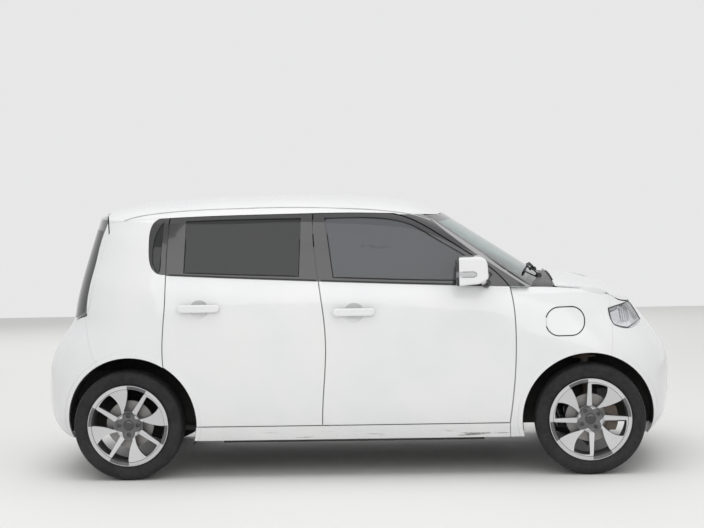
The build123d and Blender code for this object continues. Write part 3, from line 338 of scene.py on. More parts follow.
def camera():
    ahead = Vector((math.sin(YAW) * math.cos(PITCH), math.cos(YAW) * math.cos(PITCH), math.sin(PITCH)))
    right = Vector((math.cos(YAW), -math.sin(YAW), 0))
    up = right.cross(ahead)
    across = right * math.cos(LEAN) + up * math.sin(LEAN)
    upward = up * math.cos(LEAN) - right * math.sin(LEAN)
    data = bpy.data.cameras.new("camera")
    data.lens, data.sensor_width, data.clip_end = LENS, SENSOR, FARTHEST
    scene.camera = linked(bpy.data.objects.new("camera", data))
    turn = Matrix((across, upward, -ahead)).transposed().to_4x4()
    scene.camera.matrix_world = Matrix.Translation(EYE) @ turn


camera()
print("camera at", [round(c, 2) for c in EYE])

# %% [markdown]
# Several finishes share the same effects, so each effect is a node group with named sockets.  Road dust
# gathers low on the car and thins out upwards in patches.  Grain is the fine pebble of moulded plastic.
# Weave is the crossing threads of cloth.  A lip is the raised edge of a wheel arch, and scuffs are long
# scratches on the sill, drawn as dark streaks that also paint the shade of its creases.  All read Object coordinates,
# in metres, as every piece sits at the car's origin.

# %% Shared effects
ARCHES = ((-1.2025, 0.308, 0.356), (1.2525, 0.296, 0.356))
MIDRANGE = (0.3, 0.7)
GRAIN_HEIGHT = 0.0006
GREY_DUST = (0.34, 0.32, 0.29, 1)
KINDS = {"colour": "NodeSocketColor", "number": "NodeSocketFloat", "vector": "NodeSocketVector"}


def effect(name, inputs, outputs):
    """A node group with its sockets; returns its tree, its given values and its result node."""
    tree = bpy.data.node_groups.new(name, "ShaderNodeTree")
    for direction, sockets in (("INPUT", inputs), ("OUTPUT", outputs)):
        for label, kind in sockets.items():
            tree.interface.new_socket(name=label, in_out=direction, socket_type=KINDS[kind])
    given, result = tree.nodes.new("NodeGroupInput"), tree.nodes.new("NodeGroupOutput")
    return tree, [Value(tree, given.outputs[label]) for label in inputs], result


def placed(tree, group, **inputs):
    """A node group in a material, with its inputs; returns its outputs by name."""
    made = fill(node(tree, "ShaderNodeGroup", node_tree=group), **inputs)
    return {output.name: Value(tree, output) for output in made.outputs}


def place_of(tree):
    """Object coordinates as a vector and as X, Y and Z."""
    where = Value(tree, node(tree, "ShaderNodeTexCoord").outputs["Object"])
    return where, *split(tree, where)


def mapped(where, **inputs):
    """Coordinates that are moved, then turned and stretched."""
    return Value(where.tree, fill(node(where.tree, "ShaderNodeMapping", {"Vector": where}), **inputs).outputs[0])


def noise(where, scale, detail=3.0, roughness=0.55):
    inputs = {"Vector": where, "Scale": scale, "Detail": detail, "Roughness": roughness}
    return Value(where.tree, node(where.tree, "ShaderNodeTexNoise", inputs).outputs["Fac"])


def waves(where, scale, axis, distortion=0.0):
    inputs = {"Vector": where, "Scale": scale, "Distortion": distortion}
    made = node(where.tree, "ShaderNodeTexWave", inputs, wave_type="BANDS", bands_direction=axis)
    return Value(where.tree, made.outputs["Fac"])


def bump(height, strength, distance, base=None):
    """A normal that follows a height, over another normal where there is one."""
    made = node(height.tree, "ShaderNodeBump", {"Height": height, "Strength": strength, "Distance": distance})
    if base:
        joined(base, made.inputs["Normal"])
    return made.outputs[0]


def road_dust():
    sockets = {"Colour": "colour", "Dust": "colour", "Amount": "number", "Top": "number"}
    tree, given, result = effect("Road dust", sockets, {"Colour": "colour", "Mask": "number"})
    colour, dust, amount, top = given
    where, x, y, z = place_of(tree)
    patches = noise(where, 5.0).ramp(0.25, 0.75, 0.35, 1.0)
    specks = noise(where, 140.0, 2.0).ramp(0.3, 0.75, 0.55, 1.0)
    mask = (z.ramp(top, 0.0) * patches * specks).math("MULTIPLY", amount, clamp=True)
    fill(result, Colour=mask.blend(colour, dust), Mask=mask)
    return tree


def moulded_grain():
    tree, given, result = effect("Moulded grain", {"Scale": "number", "Depth": "number"}, {"Normal": "vector"})
    scale, depth = given
    cells = node(tree, "ShaderNodeTexVoronoi", {"Vector": place_of(tree)[0], "Scale": scale}).outputs
    fill(result, Normal=bump(Value(tree, cells["Distance"]), depth, GRAIN_HEIGHT))
    return tree


def weave():
    sockets = {"Colour": "colour", "Threads": "number"}
    tree, given, result = effect("Weave", sockets, {"Colour": "colour", "Height": "number"})
    colour, threads = given
    where = place_of(tree)[0]
    height = waves(where, threads, "X", 0.6) * waves(where, threads, "Z", 0.6)
    fill(result, Colour=height.ramp(0.0, 1.0, 0.0, 0.55).blend(colour, (0.02, 0.02, 0.022, 1)), Height=height)
    return tree


def arch_lip():
    """The height of a soft raised lip around the wheel arches, which are circles seen from the side."""
    tree, (width,), result = effect("Arch lip", {"Width": "number"}, {"Height": "number"})
    where, x, y, z = place_of(tree)
    heights = []
    for centre_x, centre_z, radius in ARCHES:
        dx, dz = x - centre_x, z - centre_z
        past = (dx * dx + dz * dz) ** 0.5 - radius
        heights.append((past / width).ramp(1.25, 0.75))
    fill(result, Height=heights[0].most(heights[1]))
    return tree


def sill_scuffs_and_crease_shade():
    """Long dark scratches on the lower edge of the sill, and painted shade in its creases."""
    tree, (amount,), result = effect("Sill scuffs and crease shade", {"Amount": "number"}, {"Mask": "number"})
    where, x, y, z = place_of(tree)
    streaks = noise(mapped(where, Scale=(5.0, 1.0, 60.0)), 1.0, 4.0, 0.7).ramp(0.56, 0.66)
    low = z.ramp(0.262, 0.225)
    spots = noise(mapped(where, Scale=(1.0, 0.2, 0.2), Location=(0.35, 0, 0)), 3.2, 0.0).ramp(0.5, 0.6)
    fill(result, Mask=streaks * low * spots * amount)
    return tree


DUST, GRAIN, WEAVE, LIP, SCUFFS_AND_CREASE_SHADE = (make() for make in (road_dust, moulded_grain, weave, arch_lip, sill_scuffs_and_crease_shade))
print("effects:", [group.name for group in bpy.data.node_groups])

# %% [markdown]
# The white paint is a hard base under clear lacquer, so the material is a pale colour with a coat.  Above
# the belt line the same panels are gloss black, and inside they are trimmed in dark plastic.  The panels
# are single solids, so masks choose the finish: height over the belt curve for the black, and the
# direction that the surface faces for the trim.

# %% Painted panels
WHITE, SHADED_WHITE = (0.80, 0.805, 0.80, 1), (0.77, 0.78, 0.785, 1)
BLACK = (0.014, 0.014, 0.016, 1)
TRIM = (0.035, 0.035, 0.038, 1)
HEADLINING = (0.42, 0.41, 0.39, 1)
# the dark colour of the sill's streaks: real scuffs, and painted shade in its creases
SCRATCH_AND_CREASE_SHADE = (0.06, 0.058, 0.055, 1)
PAINT_ROUGH, BLACK_ROUGH, TRIM_ROUGH, DUST_ROUGH = 0.34, 0.12, 0.62, 0.8
LIP_WIDTH, LIP_HEIGHT = 0.024, 0.006
BELT = (1.04669, -0.04834, 0.00515)
# the roof's lower edge falls ahead of a place along the car
ROOF_EDGE, ROOF_FALL, ROOF_BEND = 1.405, -0.04, 0.15
# middle and half size of the quarter window's rounded outline, along X and along Z
QUARTER_ROUND = ((-0.985, 0.104), (1.256, 0.152))
# the hatch glass: its foot, its half width at a height, and how far that narrows in a metre
HATCH_FOOT, HATCH_HALF, HATCH_HEIGHT, HATCH_LEAN, HATCH_MARGIN = 0.862, 0.535, 1.338, 0.23, 0.014
# the mirror: the start of its rear face, the top of its foot and its inner end
MIRROR_REAR, MIRROR_FOOT, MIRROR_INNER = 0.574, 1.034, 0.846


def belt(x):
    """The height of the belt curve at a place along the car, as a plain number or as a shader value."""
    return (x * BELT[2] + BELT[1]) * x + BELT[0]


def facing(tree, axis, towards_middle=False):
    """How far the surface faces along an axis, or towards the car's middle plane."""
    texture = node(tree, "ShaderNodeTexCoord").outputs
    normal = split(tree, texture["Normal"])["XYZ".index(axis)]
    if not towards_middle:
        return normal
    return normal * (split(tree, texture["Object"])[1].math("SIGN") * -1.0)


def scuffed(tree, shader, colour, amount, top=0.42):
    """Road dust and fine specks over a colour; returns the dust's mask."""
    dust = placed(tree, DUST, Colour=colour, Dust=GREY_DUST, Amount=amount, Top=top)
    fill(shader, Base_Color=dust["Colour"])
    return dust["Mask"]


def paint(name, dark=None, trim=None, trim_colour=TRIM, amount=0.30, arches=False):
    """Lacquered white, black where the dark mask is, and trim where the trim mask is."""
    material, tree, shader = finish(name, Coat_Roughness=0.03, Coat_IOR=1.5)
    where, *place = place_of(tree)
    colour = noise(where, 3.0, 2.0).ramp(*MIDRANGE).blend(WHITE, SHADED_WHITE)
    rough, coat, lip = PAINT_ROUGH, 1.0, None
    if dark:
        mask = dark(*place)
        colour, rough = mask.blend(colour, BLACK), mask.between(rough, BLACK_ROUGH)
    if trim:
        mask = trim(*place)
        colour, rough, coat = mask.blend(colour, trim_colour), mask.between(rough, TRIM_ROUGH), 1.0 - mask
    if arches:
        # dark streaks low on the sill: scuffs, and painted shade in its creases
        colour = placed(tree, SCUFFS_AND_CREASE_SHADE, Amount=0.85)["Mask"].blend(colour, SCRATCH_AND_CREASE_SHADE)
        lip = bump(placed(tree, LIP, Width=LIP_WIDTH)["Height"], 0.7, LIP_HEIGHT)
    dust = scuffed(tree, shader, colour, amount)
    peel = bump(noise(where, 420.0, 1.0), 0.05, 0.0004, lip)
    fill(shader, Roughness=dust.between(rough, DUST_ROUGH), Coat_Weight=coat, Normal=peel)
    return material


def inner_side(x, y, z):
    return facing(x.tree, "Y", towards_middle=True).over(0.45)


def over_belt(x, y, z):
    return z.over(belt(x))


def quarter_dark(x, z):
    """The rounded end of the window band, round the quarter glass."""
    total = 0.0
    for value, (middle, half) in zip((x, z), QUARTER_ROUND):
        total = (abs(value - middle) / half) ** 3.0 + total
    return total.ramp(1.02, 0.98) * x.under(-0.97)


def body_dark(x, y, z):
    """The window band of the body side: above the belt, under the roof, ahead of the quarter glass."""
    roof = (x - ROOF_BEND).most(0.0) * ROOF_FALL + ROOF_EDGE
    return (over_belt(x, y, z) * x.over(QUARTER_ROUND[0][0]) * z.under(roof)).most(quarter_dark(x, z))


def glass_hatch(x, y, z):
    """The glass part of the tailgate, which narrows upwards as the glass does."""
    edge = z * -HATCH_LEAN + (HATCH_HALF + HATCH_LEAN * HATCH_HEIGHT + HATCH_MARGIN)
    return z.over(HATCH_FOOT) * abs(y).under(edge)


def lining_under(x, y, z):
    return facing(x.tree, "Z").under(-0.25)


def behind_panel(x, y, z):
    return facing(x.tree, "X").over(0.5)


def mirror_dark(x, y, z):
    """The mirror's rear face and its foot on the door are black."""
    return x.under(MIRROR_REAR).most(z.under(MIRROR_FOOT)).most(abs(y).under(MIRROR_INNER))


DOOR_PAINT = paint("door_paint", over_belt, inner_side, arches=True)
SIDE_PAINT = paint("side_paint", body_dark, inner_side, amount=0.42, arches=True)
ROOF_PAINT = paint("roof_paint", None, lining_under, HEADLINING, 0.0)
WING_PAINT = paint("wing_paint", None, inner_side, arches=True)
BONNET_PAINT = paint("bonnet_paint", None, lining_under, TRIM, 0.0)
BUMPER_PAINT = paint("bumper_paint", amount=0.36, arches=True)
HATCH_PAINT = paint("hatch_paint", glass_hatch, behind_panel)
FLAP_PAINT = paint("flap_paint", None, inner_side)
MIRROR_PAINT = paint("mirror_paint", mirror_dark, amount=0.0)
print("materials so far:", len(bpy.data.materials))

# %% [markdown]
# Moulded plastics differ in colour, in how shiny they are and in the size of their grain, and those
# outside gather dust.  Rubber, leatherette and metals are made by the same function, with their own
# values.

# %% Plastics, rubber and metals
def moulded(name, colour, rough, grain=900.0, depth=0.35, dust=0.0, top=0.6, metal=0.0, coat=0.0):
    """A plain moulded or cast surface with grain, small changes of tone and, low down, dust."""
    material, tree, shader = finish(name, Metallic=metal, Coat_Weight=coat, Coat_Roughness=0.05)
    where = place_of(tree)[0]
    lighter = tuple(min(c * 1.35 + 0.004, 1.0) for c in colour) + (1,)
    tone = noise(where, 9.0).ramp(*MIDRANGE).blend(colour + (1,), lighter)
    mask = scuffed(tree, shader, tone, dust, top)
    worn = noise(where, 60.0).ramp(*MIDRANGE, rough - 0.06, rough + 0.06)
    pebble = placed(tree, GRAIN, Scale=grain, Depth=depth)["Normal"]
    fill(shader, Roughness=mask.between(worn, 0.9), Normal=pebble)
    return material


CABIN_PLASTIC = moulded("cabin_plastic", (0.030, 0.030, 0.033), 0.58)
SATIN_BLACK = moulded("satin_black", (0.016, 0.016, 0.017), 0.38, 1400.0, 0.15)
GLOSS_BLACK = moulded("gloss_black", (0.010, 0.010, 0.011), 0.10, 200.0, 0.02, coat=1.0)
EXTERIOR_BLACK = moulded("exterior_black", (0.018, 0.018, 0.019), 0.55, 700.0, 0.5, 0.35)
LINER = moulded("liner_felt", (0.010, 0.010, 0.010), 0.92, 500.0, 0.9, 0.25, 0.7)
UNDERCOAT = moulded("undercoat", (0.045, 0.045, 0.046), 0.8, 160.0, 0.8, 0.45, 0.5)
CHASSIS = moulded("chassis_black", (0.020, 0.020, 0.021), 0.5, 300.0, 0.3, 0.4, 0.5)
CAST_ALLOY = moulded("cast_alloy", (0.42, 0.42, 0.43), 0.48, 350.0, 0.5, 0.25, 0.5, metal=0.9)
CAST_IRON = moulded("cast_iron", (0.16, 0.13, 0.11), 0.7, 250.0, 0.7, 0.3, 0.6, metal=0.6)
RUBBER = moulded("seal_rubber", (0.010, 0.010, 0.010), 0.62, 600.0, 0.3)
CHROME = moulded("bright_trim", (0.72, 0.72, 0.73), 0.14, 200.0, 0.02, metal=1.0)
REFLECTOR = moulded("lamp_reflector", (0.88, 0.89, 0.90), 0.30, 150.0, 0.02, metal=0.15)
STEEL = moulded("bolt_steel", (0.10, 0.10, 0.105), 0.35, 800.0, 0.2, metal=1.0)
LEATHERETTE = moulded("leatherette", (0.040, 0.038, 0.037), 0.5, 420.0, 0.55)
MOULDING = moulded("roof_moulding", (0.42, 0.42, 0.42), 0.35)
MIRROR_GLASS = moulded("mirror_glass", (0.62, 0.64, 0.66), 0.07, 400.0, 0.0, metal=1.0)
SEAT_PIPING = moulded("seat_piping", (0.16, 0.16, 0.17), 0.6)
print("with plastics and metals:", len(bpy.data.materials))

# %% [markdown]
# The door and rear glass is tinted so deeply that little of the cabin shows, and the front door glass is a
# lighter grey than the rest, which is painted reflection of the sky over its dark tint.  The windscreen is clear
# with a green cast and a black baked border that hides the glue and is broader at the top.  All panes
# are plain transmitting glass, and only their colour changes over the surface.

# %% Glass and lamp plastics
BAKED = (0.004, 0.004, 0.004, 1)
# the screen's clear part: its half width at a height, how far that narrows in a metre, and a margin
SCREEN_HALF, SCREEN_HEIGHT, SCREEN_LEAN, SCREEN_MARGIN = 0.690, 1.005, 0.345, 0.030
# the clear part's foot in the middle of the car, its fall towards the sides, and its top
SCREEN_FOOT, FOOT_FALL, SCREEN_TOP = 1.062, -0.065, 1.355


def pane(name, colour, ior=1.5, clear=1.0, rough=0.02, border=None):
    """Transmitting glass, with a fine film of dirt, and an opaque border where the mask is."""
    material, tree, shader = finish(name, Roughness=rough, IOR=ior, Transmission_Weight=clear)
    where, *place = place_of(tree)
    filmed = tuple(c * 0.85 + 0.02 for c in colour) + (1,)
    tint = noise(where, 2.4).ramp(0.35, 0.8, 0.0, 0.25).blend(colour + (1,), filmed)
    fill(shader, Base_Color=border(*place).blend(tint, BAKED) if border else tint)
    return material


def windscreen_border(x, y, z):
    """The baked border: near the sides, which lean in with height, along the foot and at the top."""
    lean = z * -SCREEN_LEAN + (SCREEN_HALF + SCREEN_LEAN * SCREEN_HEIGHT - SCREEN_MARGIN)
    foot = y * y * FOOT_FALL + SCREEN_FOOT
    return abs(y).over(lean).most(z.under(foot)).most(z.over(SCREEN_TOP))


def red_lens():
    """Dark red lamp plastic with the fine upright ribs moulded inside it."""
    material, tree, shader = finish("red_lens", Roughness=0.08, Coat_Weight=1.0, Coat_Roughness=0.03)
    ribs = waves(place_of(tree)[0], 42.0, "Y")
    colour = ribs.blend((0.10, 0.002, 0.002, 1), (0.24, 0.008, 0.008, 1))
    fill(shader, Base_Color=colour, Normal=bump(ribs, 0.4, 0.001))
    return material


# the front door glass's lighter grey is painted reflection of the sky, over a real dark tint
FRONT_GLASS_PAINTED_REFLECTION = pane("front_side_glass_painted_reflection", (0.115, 0.12, 0.13), clear=0.35)
REAR_GLASS = pane("rear_side_glass", (0.020, 0.022, 0.022), clear=0.45)
HATCH_GLASS = pane("hatch_glass", (0.02, 0.022, 0.024), clear=0.5)
SCREEN_GLASS = pane("screen_glass", (0.22, 0.36, 0.32), ior=1.4, border=windscreen_border)
LENS = pane("lamp_lens", (0.93, 0.94, 0.95), ior=1.2, rough=0.015)
CLEAR_PLASTIC = pane("clear_plastic", (0.88, 0.89, 0.90), ior=1.3, rough=0.05, clear=0.8)
RED_LENS = red_lens()
print("with glass:", len(bpy.data.materials))

# %% [markdown]
# Each wheel is cast in one piece and painted gunmetal, and then its front is turned on a lathe, which
# leaves bright metal on the four leaves and paint on everything that lies deeper.  A node group works
# that out about the wheel's own axle: a Mapping node brings the axle to the origin and turns the wheel
# back upright, so one group serves all four wheels.

# %% Wheel finish
LEAF_MIDDLE, LEAF_HALF = 46.0, 29.0
LEAF_TIP, LEAF_FULL = 0.050, 0.082
RING_MIDDLE, RING_HALF = 59.5, 30.5
RING_INNER, RING_OUTER = 0.190, 0.215
FACE_DEPTH, FACE_SQUARE = 0.045, 0.62
DISC_RADIUS, DISC_DEPTH = 0.132, 0.004
LATHE_RINGS = 5200.0
GUNMETAL = (0.085, 0.087, 0.092, 1), (0.13, 0.13, 0.135, 1)
TURNED_METAL, DISC_METAL = (0.60, 0.60, 0.61, 1), (0.30, 0.29, 0.28, 1)
WHEEL_PLANE, HUB_HEIGHT = 0.710, 0.296
# for each end of the car: the axle's place along it, and how far its wheels are rolled
AXLES = {"front": (1.2575, -32.0), "rear": (-1.2175, 0.0)}
WHEELS = {
    f"{end}_{side_name}": (Vector((axle, side * WHEEL_PLANE, HUB_HEIGHT)), side, turn)
    for end, (axle, turn) in AXLES.items() for side_name, side in SIDES.items()
}


def wheel_face():
    """Masks about an axle along Y at the origin: turned metal, brake disc, and the lathe's fine rings."""
    outputs = {"Turned": "number", "Disc": "number", "Rings": "number"}
    tree, given, result = effect("Wheel face", {"Place": "vector", "Facing": "number"}, outputs)
    place, square = given
    x, y, z = split(tree, place)
    radius = (x * x + z * z) ** 0.5
    quarter = (x.math("ARCTAN2", z).math("DEGREES") + 360.0).math("FLOORED_MODULO", 90.0)
    share = radius.ramp(LEAF_TIP, LEAF_FULL) ** 0.6 * LEAF_HALF
    in_leaf = (share - abs(quarter - LEAF_MIDDLE)).ramp(-0.5, 0.8)
    outer = in_leaf.most(radius.over(LEAF_FULL))
    on_ring = abs(quarter - RING_MIDDLE).ramp(RING_HALF + 0.5, RING_HALF - 0.5)
    outer = outer * on_ring.most(radius.over(RING_OUTER)).most(radius.under(RING_INNER))
    turned = outer * square.over(FACE_SQUARE) * radius.over(LEAF_TIP) * y.over(FACE_DEPTH)
    disc = radius.under(DISC_RADIUS) * y.under(DISC_DEPTH)
    fill(result, Turned=turned, Disc=disc, Rings=(radius * LATHE_RINGS).math("SINE"))
    return tree


WHEEL_FACE = wheel_face()


def wheel_finish(name, centre, side, turn):
    """Gunmetal paint, bright turned leaves and a steel brake disc for one wheel."""
    material, tree, shader = finish(name, Coat_Roughness=0.08)
    where = place_of(tree)[0]
    about = mapped(mapped(where, Location=-centre), Rotation=(0, math.radians(-turn), 0), Scale=(1.0, side, 1.0))
    face = placed(tree, WHEEL_FACE, Place=about, Facing=facing(tree, "Y") * float(side))
    bright, disc = face["Turned"], face["Disc"]
    colour = noise(where, 25.0).ramp(*MIDRANGE).blend(*GUNMETAL)
    colour = disc.blend(bright.blend(colour, TURNED_METAL), DISC_METAL)
    scuffed(tree, shader, colour, 0.30, 0.62)
    metal = bright.most(disc).between(0.35, 0.85)
    fill(shader, Metallic=metal, Roughness=bright.between(0.42, 0.34), Normal=bump(face["Rings"], 0.08, 0.0002))
    return material


print("wheels at", [tuple(round(c, 3) for c in centre) for centre, side, turn in WHEELS.values()])

# %% [markdown]
# Now each CAD node gets its finish.  The mesh stays as it is, and only its material slot changes.  A name
# that ends with a low line stands for the left and right nodes of that name.

# %% Finishes of the CAD nodes
FINISHES = [
    (SIDE_PAINT, "body_side_"), (ROOF_PAINT, "roof"), (WING_PAINT, "front_wing_"),
    (BUMPER_PAINT, "front_bumper", "rear_bumper"), (DOOR_PAINT, "front_door_", "rear_door_"),
    (HATCH_PAINT, "tailgate"), (BONNET_PAINT, "bonnet"), (FLAP_PAINT, "charge_flap"),
    (MIRROR_PAINT, "door_mirror_"), (EXTERIOR_BLACK, "front_grille"),
    (SCREEN_GLASS, "windscreen"), (FRONT_GLASS_PAINTED_REFLECTION, "front_window_"), (HATCH_GLASS, "tailgate_window"),
    (REAR_GLASS, "rear_window_", "quarter_windows"),
    (REFLECTOR, "headlamps"), (LENS, "headlamp_covers"), (RED_LENS, "tail_lamps"),
    (SATIN_BLACK, "scuttle_panel", "charge_port"), (CABIN_PLASTIC, "dashboard"),
    (LEATHERETTE, "steering_wheel"), (LINER, "front_arch_liners", "rear_arch_liners"),
    (UNDERCOAT, "underbody", "battery_pack"), (CHASSIS, "front_frame", "rear_axle"),
    (CAST_ALLOY, "drive_unit"), (CAST_IRON, "knuckle_"),
]


def dress(name, material):
    slots = nodes[name].data.materials
    slots.clear()
    slots.append(material)


bare = set(nodes)
for material, *names in FINISHES:
    for name in [n + side for n in names for side in (SIDES if n.endswith("_") else ("",))]:
        dress(name, material)
        bare.remove(name)
for name, (centre, side, turn) in WHEELS.items():
    dress(f"wheel_{name}", wheel_finish(f"wheel_finish_{name}", centre, side, turn))
    bare.remove(f"wheel_{name}")
print("left for new pieces:", sorted(bare))

# %% [markdown]
# A tyre is a profile turned about its axle: beads, sidewalls with a few raised rings, shoulders and a
# tread with four grooves around it.  The small cross grooves are faces of the tread that are pushed
# inwards, every fourth one, so the blocks are real geometry.  The rubber reads its dust from height.

# %% Tyres
TYRE_STEPS = 288
TREAD_DEPTH = 0.0065
TREAD_RADIUS, RIB_HALF = 0.2915, 0.022
GROOVE_EVERY, GROOVE_LAG, LAG_END = 4, 2, 0.043
SIDEWALL = [
    (70.7, 204), (70.7, 219), (72.5, 220.5), (74.5, 220.6), (79, 224), (83.2, 231), (84.4, 232), (85.6, 236),
    (86.6, 243), (87.3, 250), (87.5, 256), (87.0, 261), (87.2, 262), (86.6, 266), (85.9, 266.6), (84.6, 273),
    (82.5, 276.5), (80.5, 282), (76.5, 287), (71.5, 290.5), (66, 292.5),
]
TREAD = [(60, 293.3), (52, 293.9), (50.5, 288.2), (44.5, 288.2), (43, 294.4), (34, 295.0), (22, 295.4), (20.5, 288.8),
         (13.5, 288.8), (12, 295.7), (5, 295.9)]


def tyre_rubber():
    material, tree, shader = finish("tyre_rubber", Specular_IOR_Level=0.35)
    where = place_of(tree)[0]
    colour = noise(where, 14.0).ramp(*MIDRANGE).blend((0.011, 0.011, 0.012, 1), (0.018, 0.018, 0.019, 1))
    dust = placed(tree, DUST, Colour=colour, Dust=(0.075, 0.072, 0.068, 1), Amount=0.22, Top=0.62)
    pebble = placed(tree, GRAIN, Scale=1100.0, Depth=0.35)["Normal"]
    rough = noise(where, 40.0).ramp(*MIDRANGE, 0.62, 0.82)
    fill(shader, Base_Color=dust["Colour"], Roughness=rough, Normal=pebble)
    return material


TYRE_RUBBER = tyre_rubber()


def cross_groove(face, centre):
    """Whether a face of the tread lies in one of the short grooves across it."""
    offset = face.calc_center_median() - centre
    step = round(math.atan2(offset.x, offset.z) / (2 * math.pi) * TYRE_STEPS - 0.5)
    across = abs(offset.y)
    lag = GROOVE_LAG if RIB_HALF < across < LAG_END else 0
    on_tread = math.hypot(offset.x, offset.z) > TREAD_RADIUS and across > RIB_HALF
    return on_tread and (step + lag) % GROOVE_EVERY == 0


def tyre(name, centre, side):
    half = SIDEWALL + TREAD
    bm, line = along_axle(half + [(-a, r) for a, r in half[::-1]], centre, side)
    bm.edges.new((line[-1], line[0]))
    full_turn(bm, centre, TYRE_STEPS)
    grown = bmesh.ops.extrude_face_region(bm, geom=[f for f in bm.faces if cross_groove(f, centre)])
    for vertex in (g for g in grown["geom"] if isinstance(g, bmesh.types.BMVert)):
        offset = vertex.co - centre
        offset.y = 0
        vertex.co -= offset.normalized() * TREAD_DEPTH
    bmesh.ops.recalc_face_normals(bm, faces=bm.faces)
    return finish_mesh(name, bm, TYRE_RUBBER, 25.0)


for name, (centre, side, turn) in WHEELS.items():
    piece = fasten(tyre(f"grooved_tyre_{name}", centre, side), f"wheel_{name}", f"tyre_{name}")
print("tyre triangles each:", sum(len(p.vertices) - 2 for p in piece.data.polygons))

# %% [markdown]
# Four bolts sit in their wells round a plain domed cap, and a rubber valve stands out of the rim between
# two leaves.  Each is made about the car's origin along Y, then carried to its place on the wheel.

# %% Wheel bolts, caps and valves
BOLT_CIRCLE, BOLT_OUT = 0.050, 0.048
VALVE_PLACE = (0.187, 0.038, 106.0, 12.0)
BOLT = [(-6, 0), (-6, 9.2), (-3.5, 9.6), (-3.2, 8.0), (3.0, 8.0), (4.6, 6.6), (4.6, 3.0), (3.2, 2.4), (3.2, 0)]
CAP = [(54, 0), (54, 27.5), (56.2, 28.2), (57.6, 27.4), (57.8, 25.0), (57.0, 23.6), (58.2, 20), (59.4, 12), (59.8, 0)]
VALVE = [(0, 0), (0, 5.6), (10, 4.6), (14, 3.4), (30, 3.4), (31, 4.0), (40, 4.0), (41, 3.2), (41, 0)]


def bolt():
    """A bolt head with its hexagon and a shallow dimple."""
    bm = turned_piece(BOLT, 6)
    bevelled(bm, [e for e in bm.edges if e.calc_length() > 0.004], 0.0004, 1)
    return bm


def on_wheel(bm, centre, side, turn, across, out, angle, tilt=0.0):
    """Carries a piece made along +Y at the origin to a place on the wheel's face."""
    face_out = Matrix.Scale(side, 4, (0, 1, 0))
    spot = Matrix.Translation((0, out, across))
    tilted = Matrix.Rotation(math.radians(tilt), 4, "X")
    around = Matrix.Rotation(math.radians(angle + turn), 4, "Y")
    bmesh.ops.transform(bm, matrix=Matrix.Translation(centre) @ face_out @ around @ spot @ tilted, verts=bm.verts)
    if side < 0:
        bmesh.ops.reverse_faces(bm, faces=bm.faces)


def fitted(kind, wheel, make, material, slot, *places):
    """A wheel's small part, once for each place on its face (across, out, angle, tilt)."""
    whole = bmesh.new()
    for place in places:
        bm = make()
        on_wheel(bm, *WHEELS[wheel], *place)
        merge_into(whole, bm)
    fasten(finish_mesh(f"{kind}_{wheel}", whole, material, 30.0), f"wheel_{wheel}")


for wheel in WHEELS:
    bolt_places = [(BOLT_CIRCLE, BOLT_OUT, 90 * quarter) for quarter in range(4)]
    fitted("wheel_bolts", wheel, bolt, STEEL, "cast_iron", *bolt_places)
    fitted("wheel_cap", wheel, lambda: turned_piece(CAP, 64), GLOSS_BLACK, "wheel_alloy", (0.0, 0.0, 0.0))
    fitted("valve", wheel, lambda: turned_piece(VALVE, 20), RUBBER, "tyre", VALVE_PLACE)
print("bolts, caps and valves on", len(WHEELS), "wheels")

# %% [markdown]
# Rubber seals close the glass against the doors.  A seal is a tube along the pane's outline.  The outline
# is known from the side, and a ray cast at the panel from outside finds how far out the surface lies
# there, so the seal hugs the curved body.

# %% Seals round the side glass
RAY_START, INNERMOST = 1.2, 0.25
ALIKE = 0.002


def surface_of(*names):
    """A ray tree over some CAD nodes."""
    bm = bmesh.new()
    for name in names:
        bm.from_mesh(nodes[name].data)
    tree = BVHTree.FromBMesh(bm)
    bm.free()
    return tree


def on_side(tree, x, z, side, out=0.0):
    """The place where a ray from the side meets the surface, moved outwards a little."""
    hit, normal, index, far = tree.ray_cast(Vector((x, side * RAY_START, z)), Vector((0, -side, 0)))
    return None if hit is None or abs(hit.y) < INNERMOST else hit + Vector((0, side * out, 0))


def smooth_run(points, between_points=6):
    """Points along a smooth curve through the given ones (Catmull and Rom's formula)."""
    ends = [points[0]] + list(points) + [points[-1]]
    line = []
    for run in zip(ends, ends[1:], ends[2:], ends[3:]):
        for i in range(between_points):
            t = i / between_points
            line.append(tuple(
                0.5 * (2 * b + (c - a) * t + (2 * a - 5 * b + 4 * c - d) * t**2 + (3 * b - a - 3 * c + d) * t**3)
                for a, b, c, d in zip(*run)))
    return line + [tuple(points[-1])]


def shrunk(outline, gap):
    """An outline of (x, z) moved inwards by a gap in its own units."""
    area = sum(a[0] * b[1] - b[0] * a[1] for a, b in zip(outline, outline[1:] + outline[:1]))
    inwards = gap if area > 0 else -gap
    inner = []
    for i, (x, z) in enumerate(outline):
        run = Vector(outline[(i + 1) % len(outline)]) - Vector(outline[i - 1])
        if run.length > 1e-9:
            run.normalize()
            inner.append((x - run.y * inwards, z + run.x * inwards))
    return inner


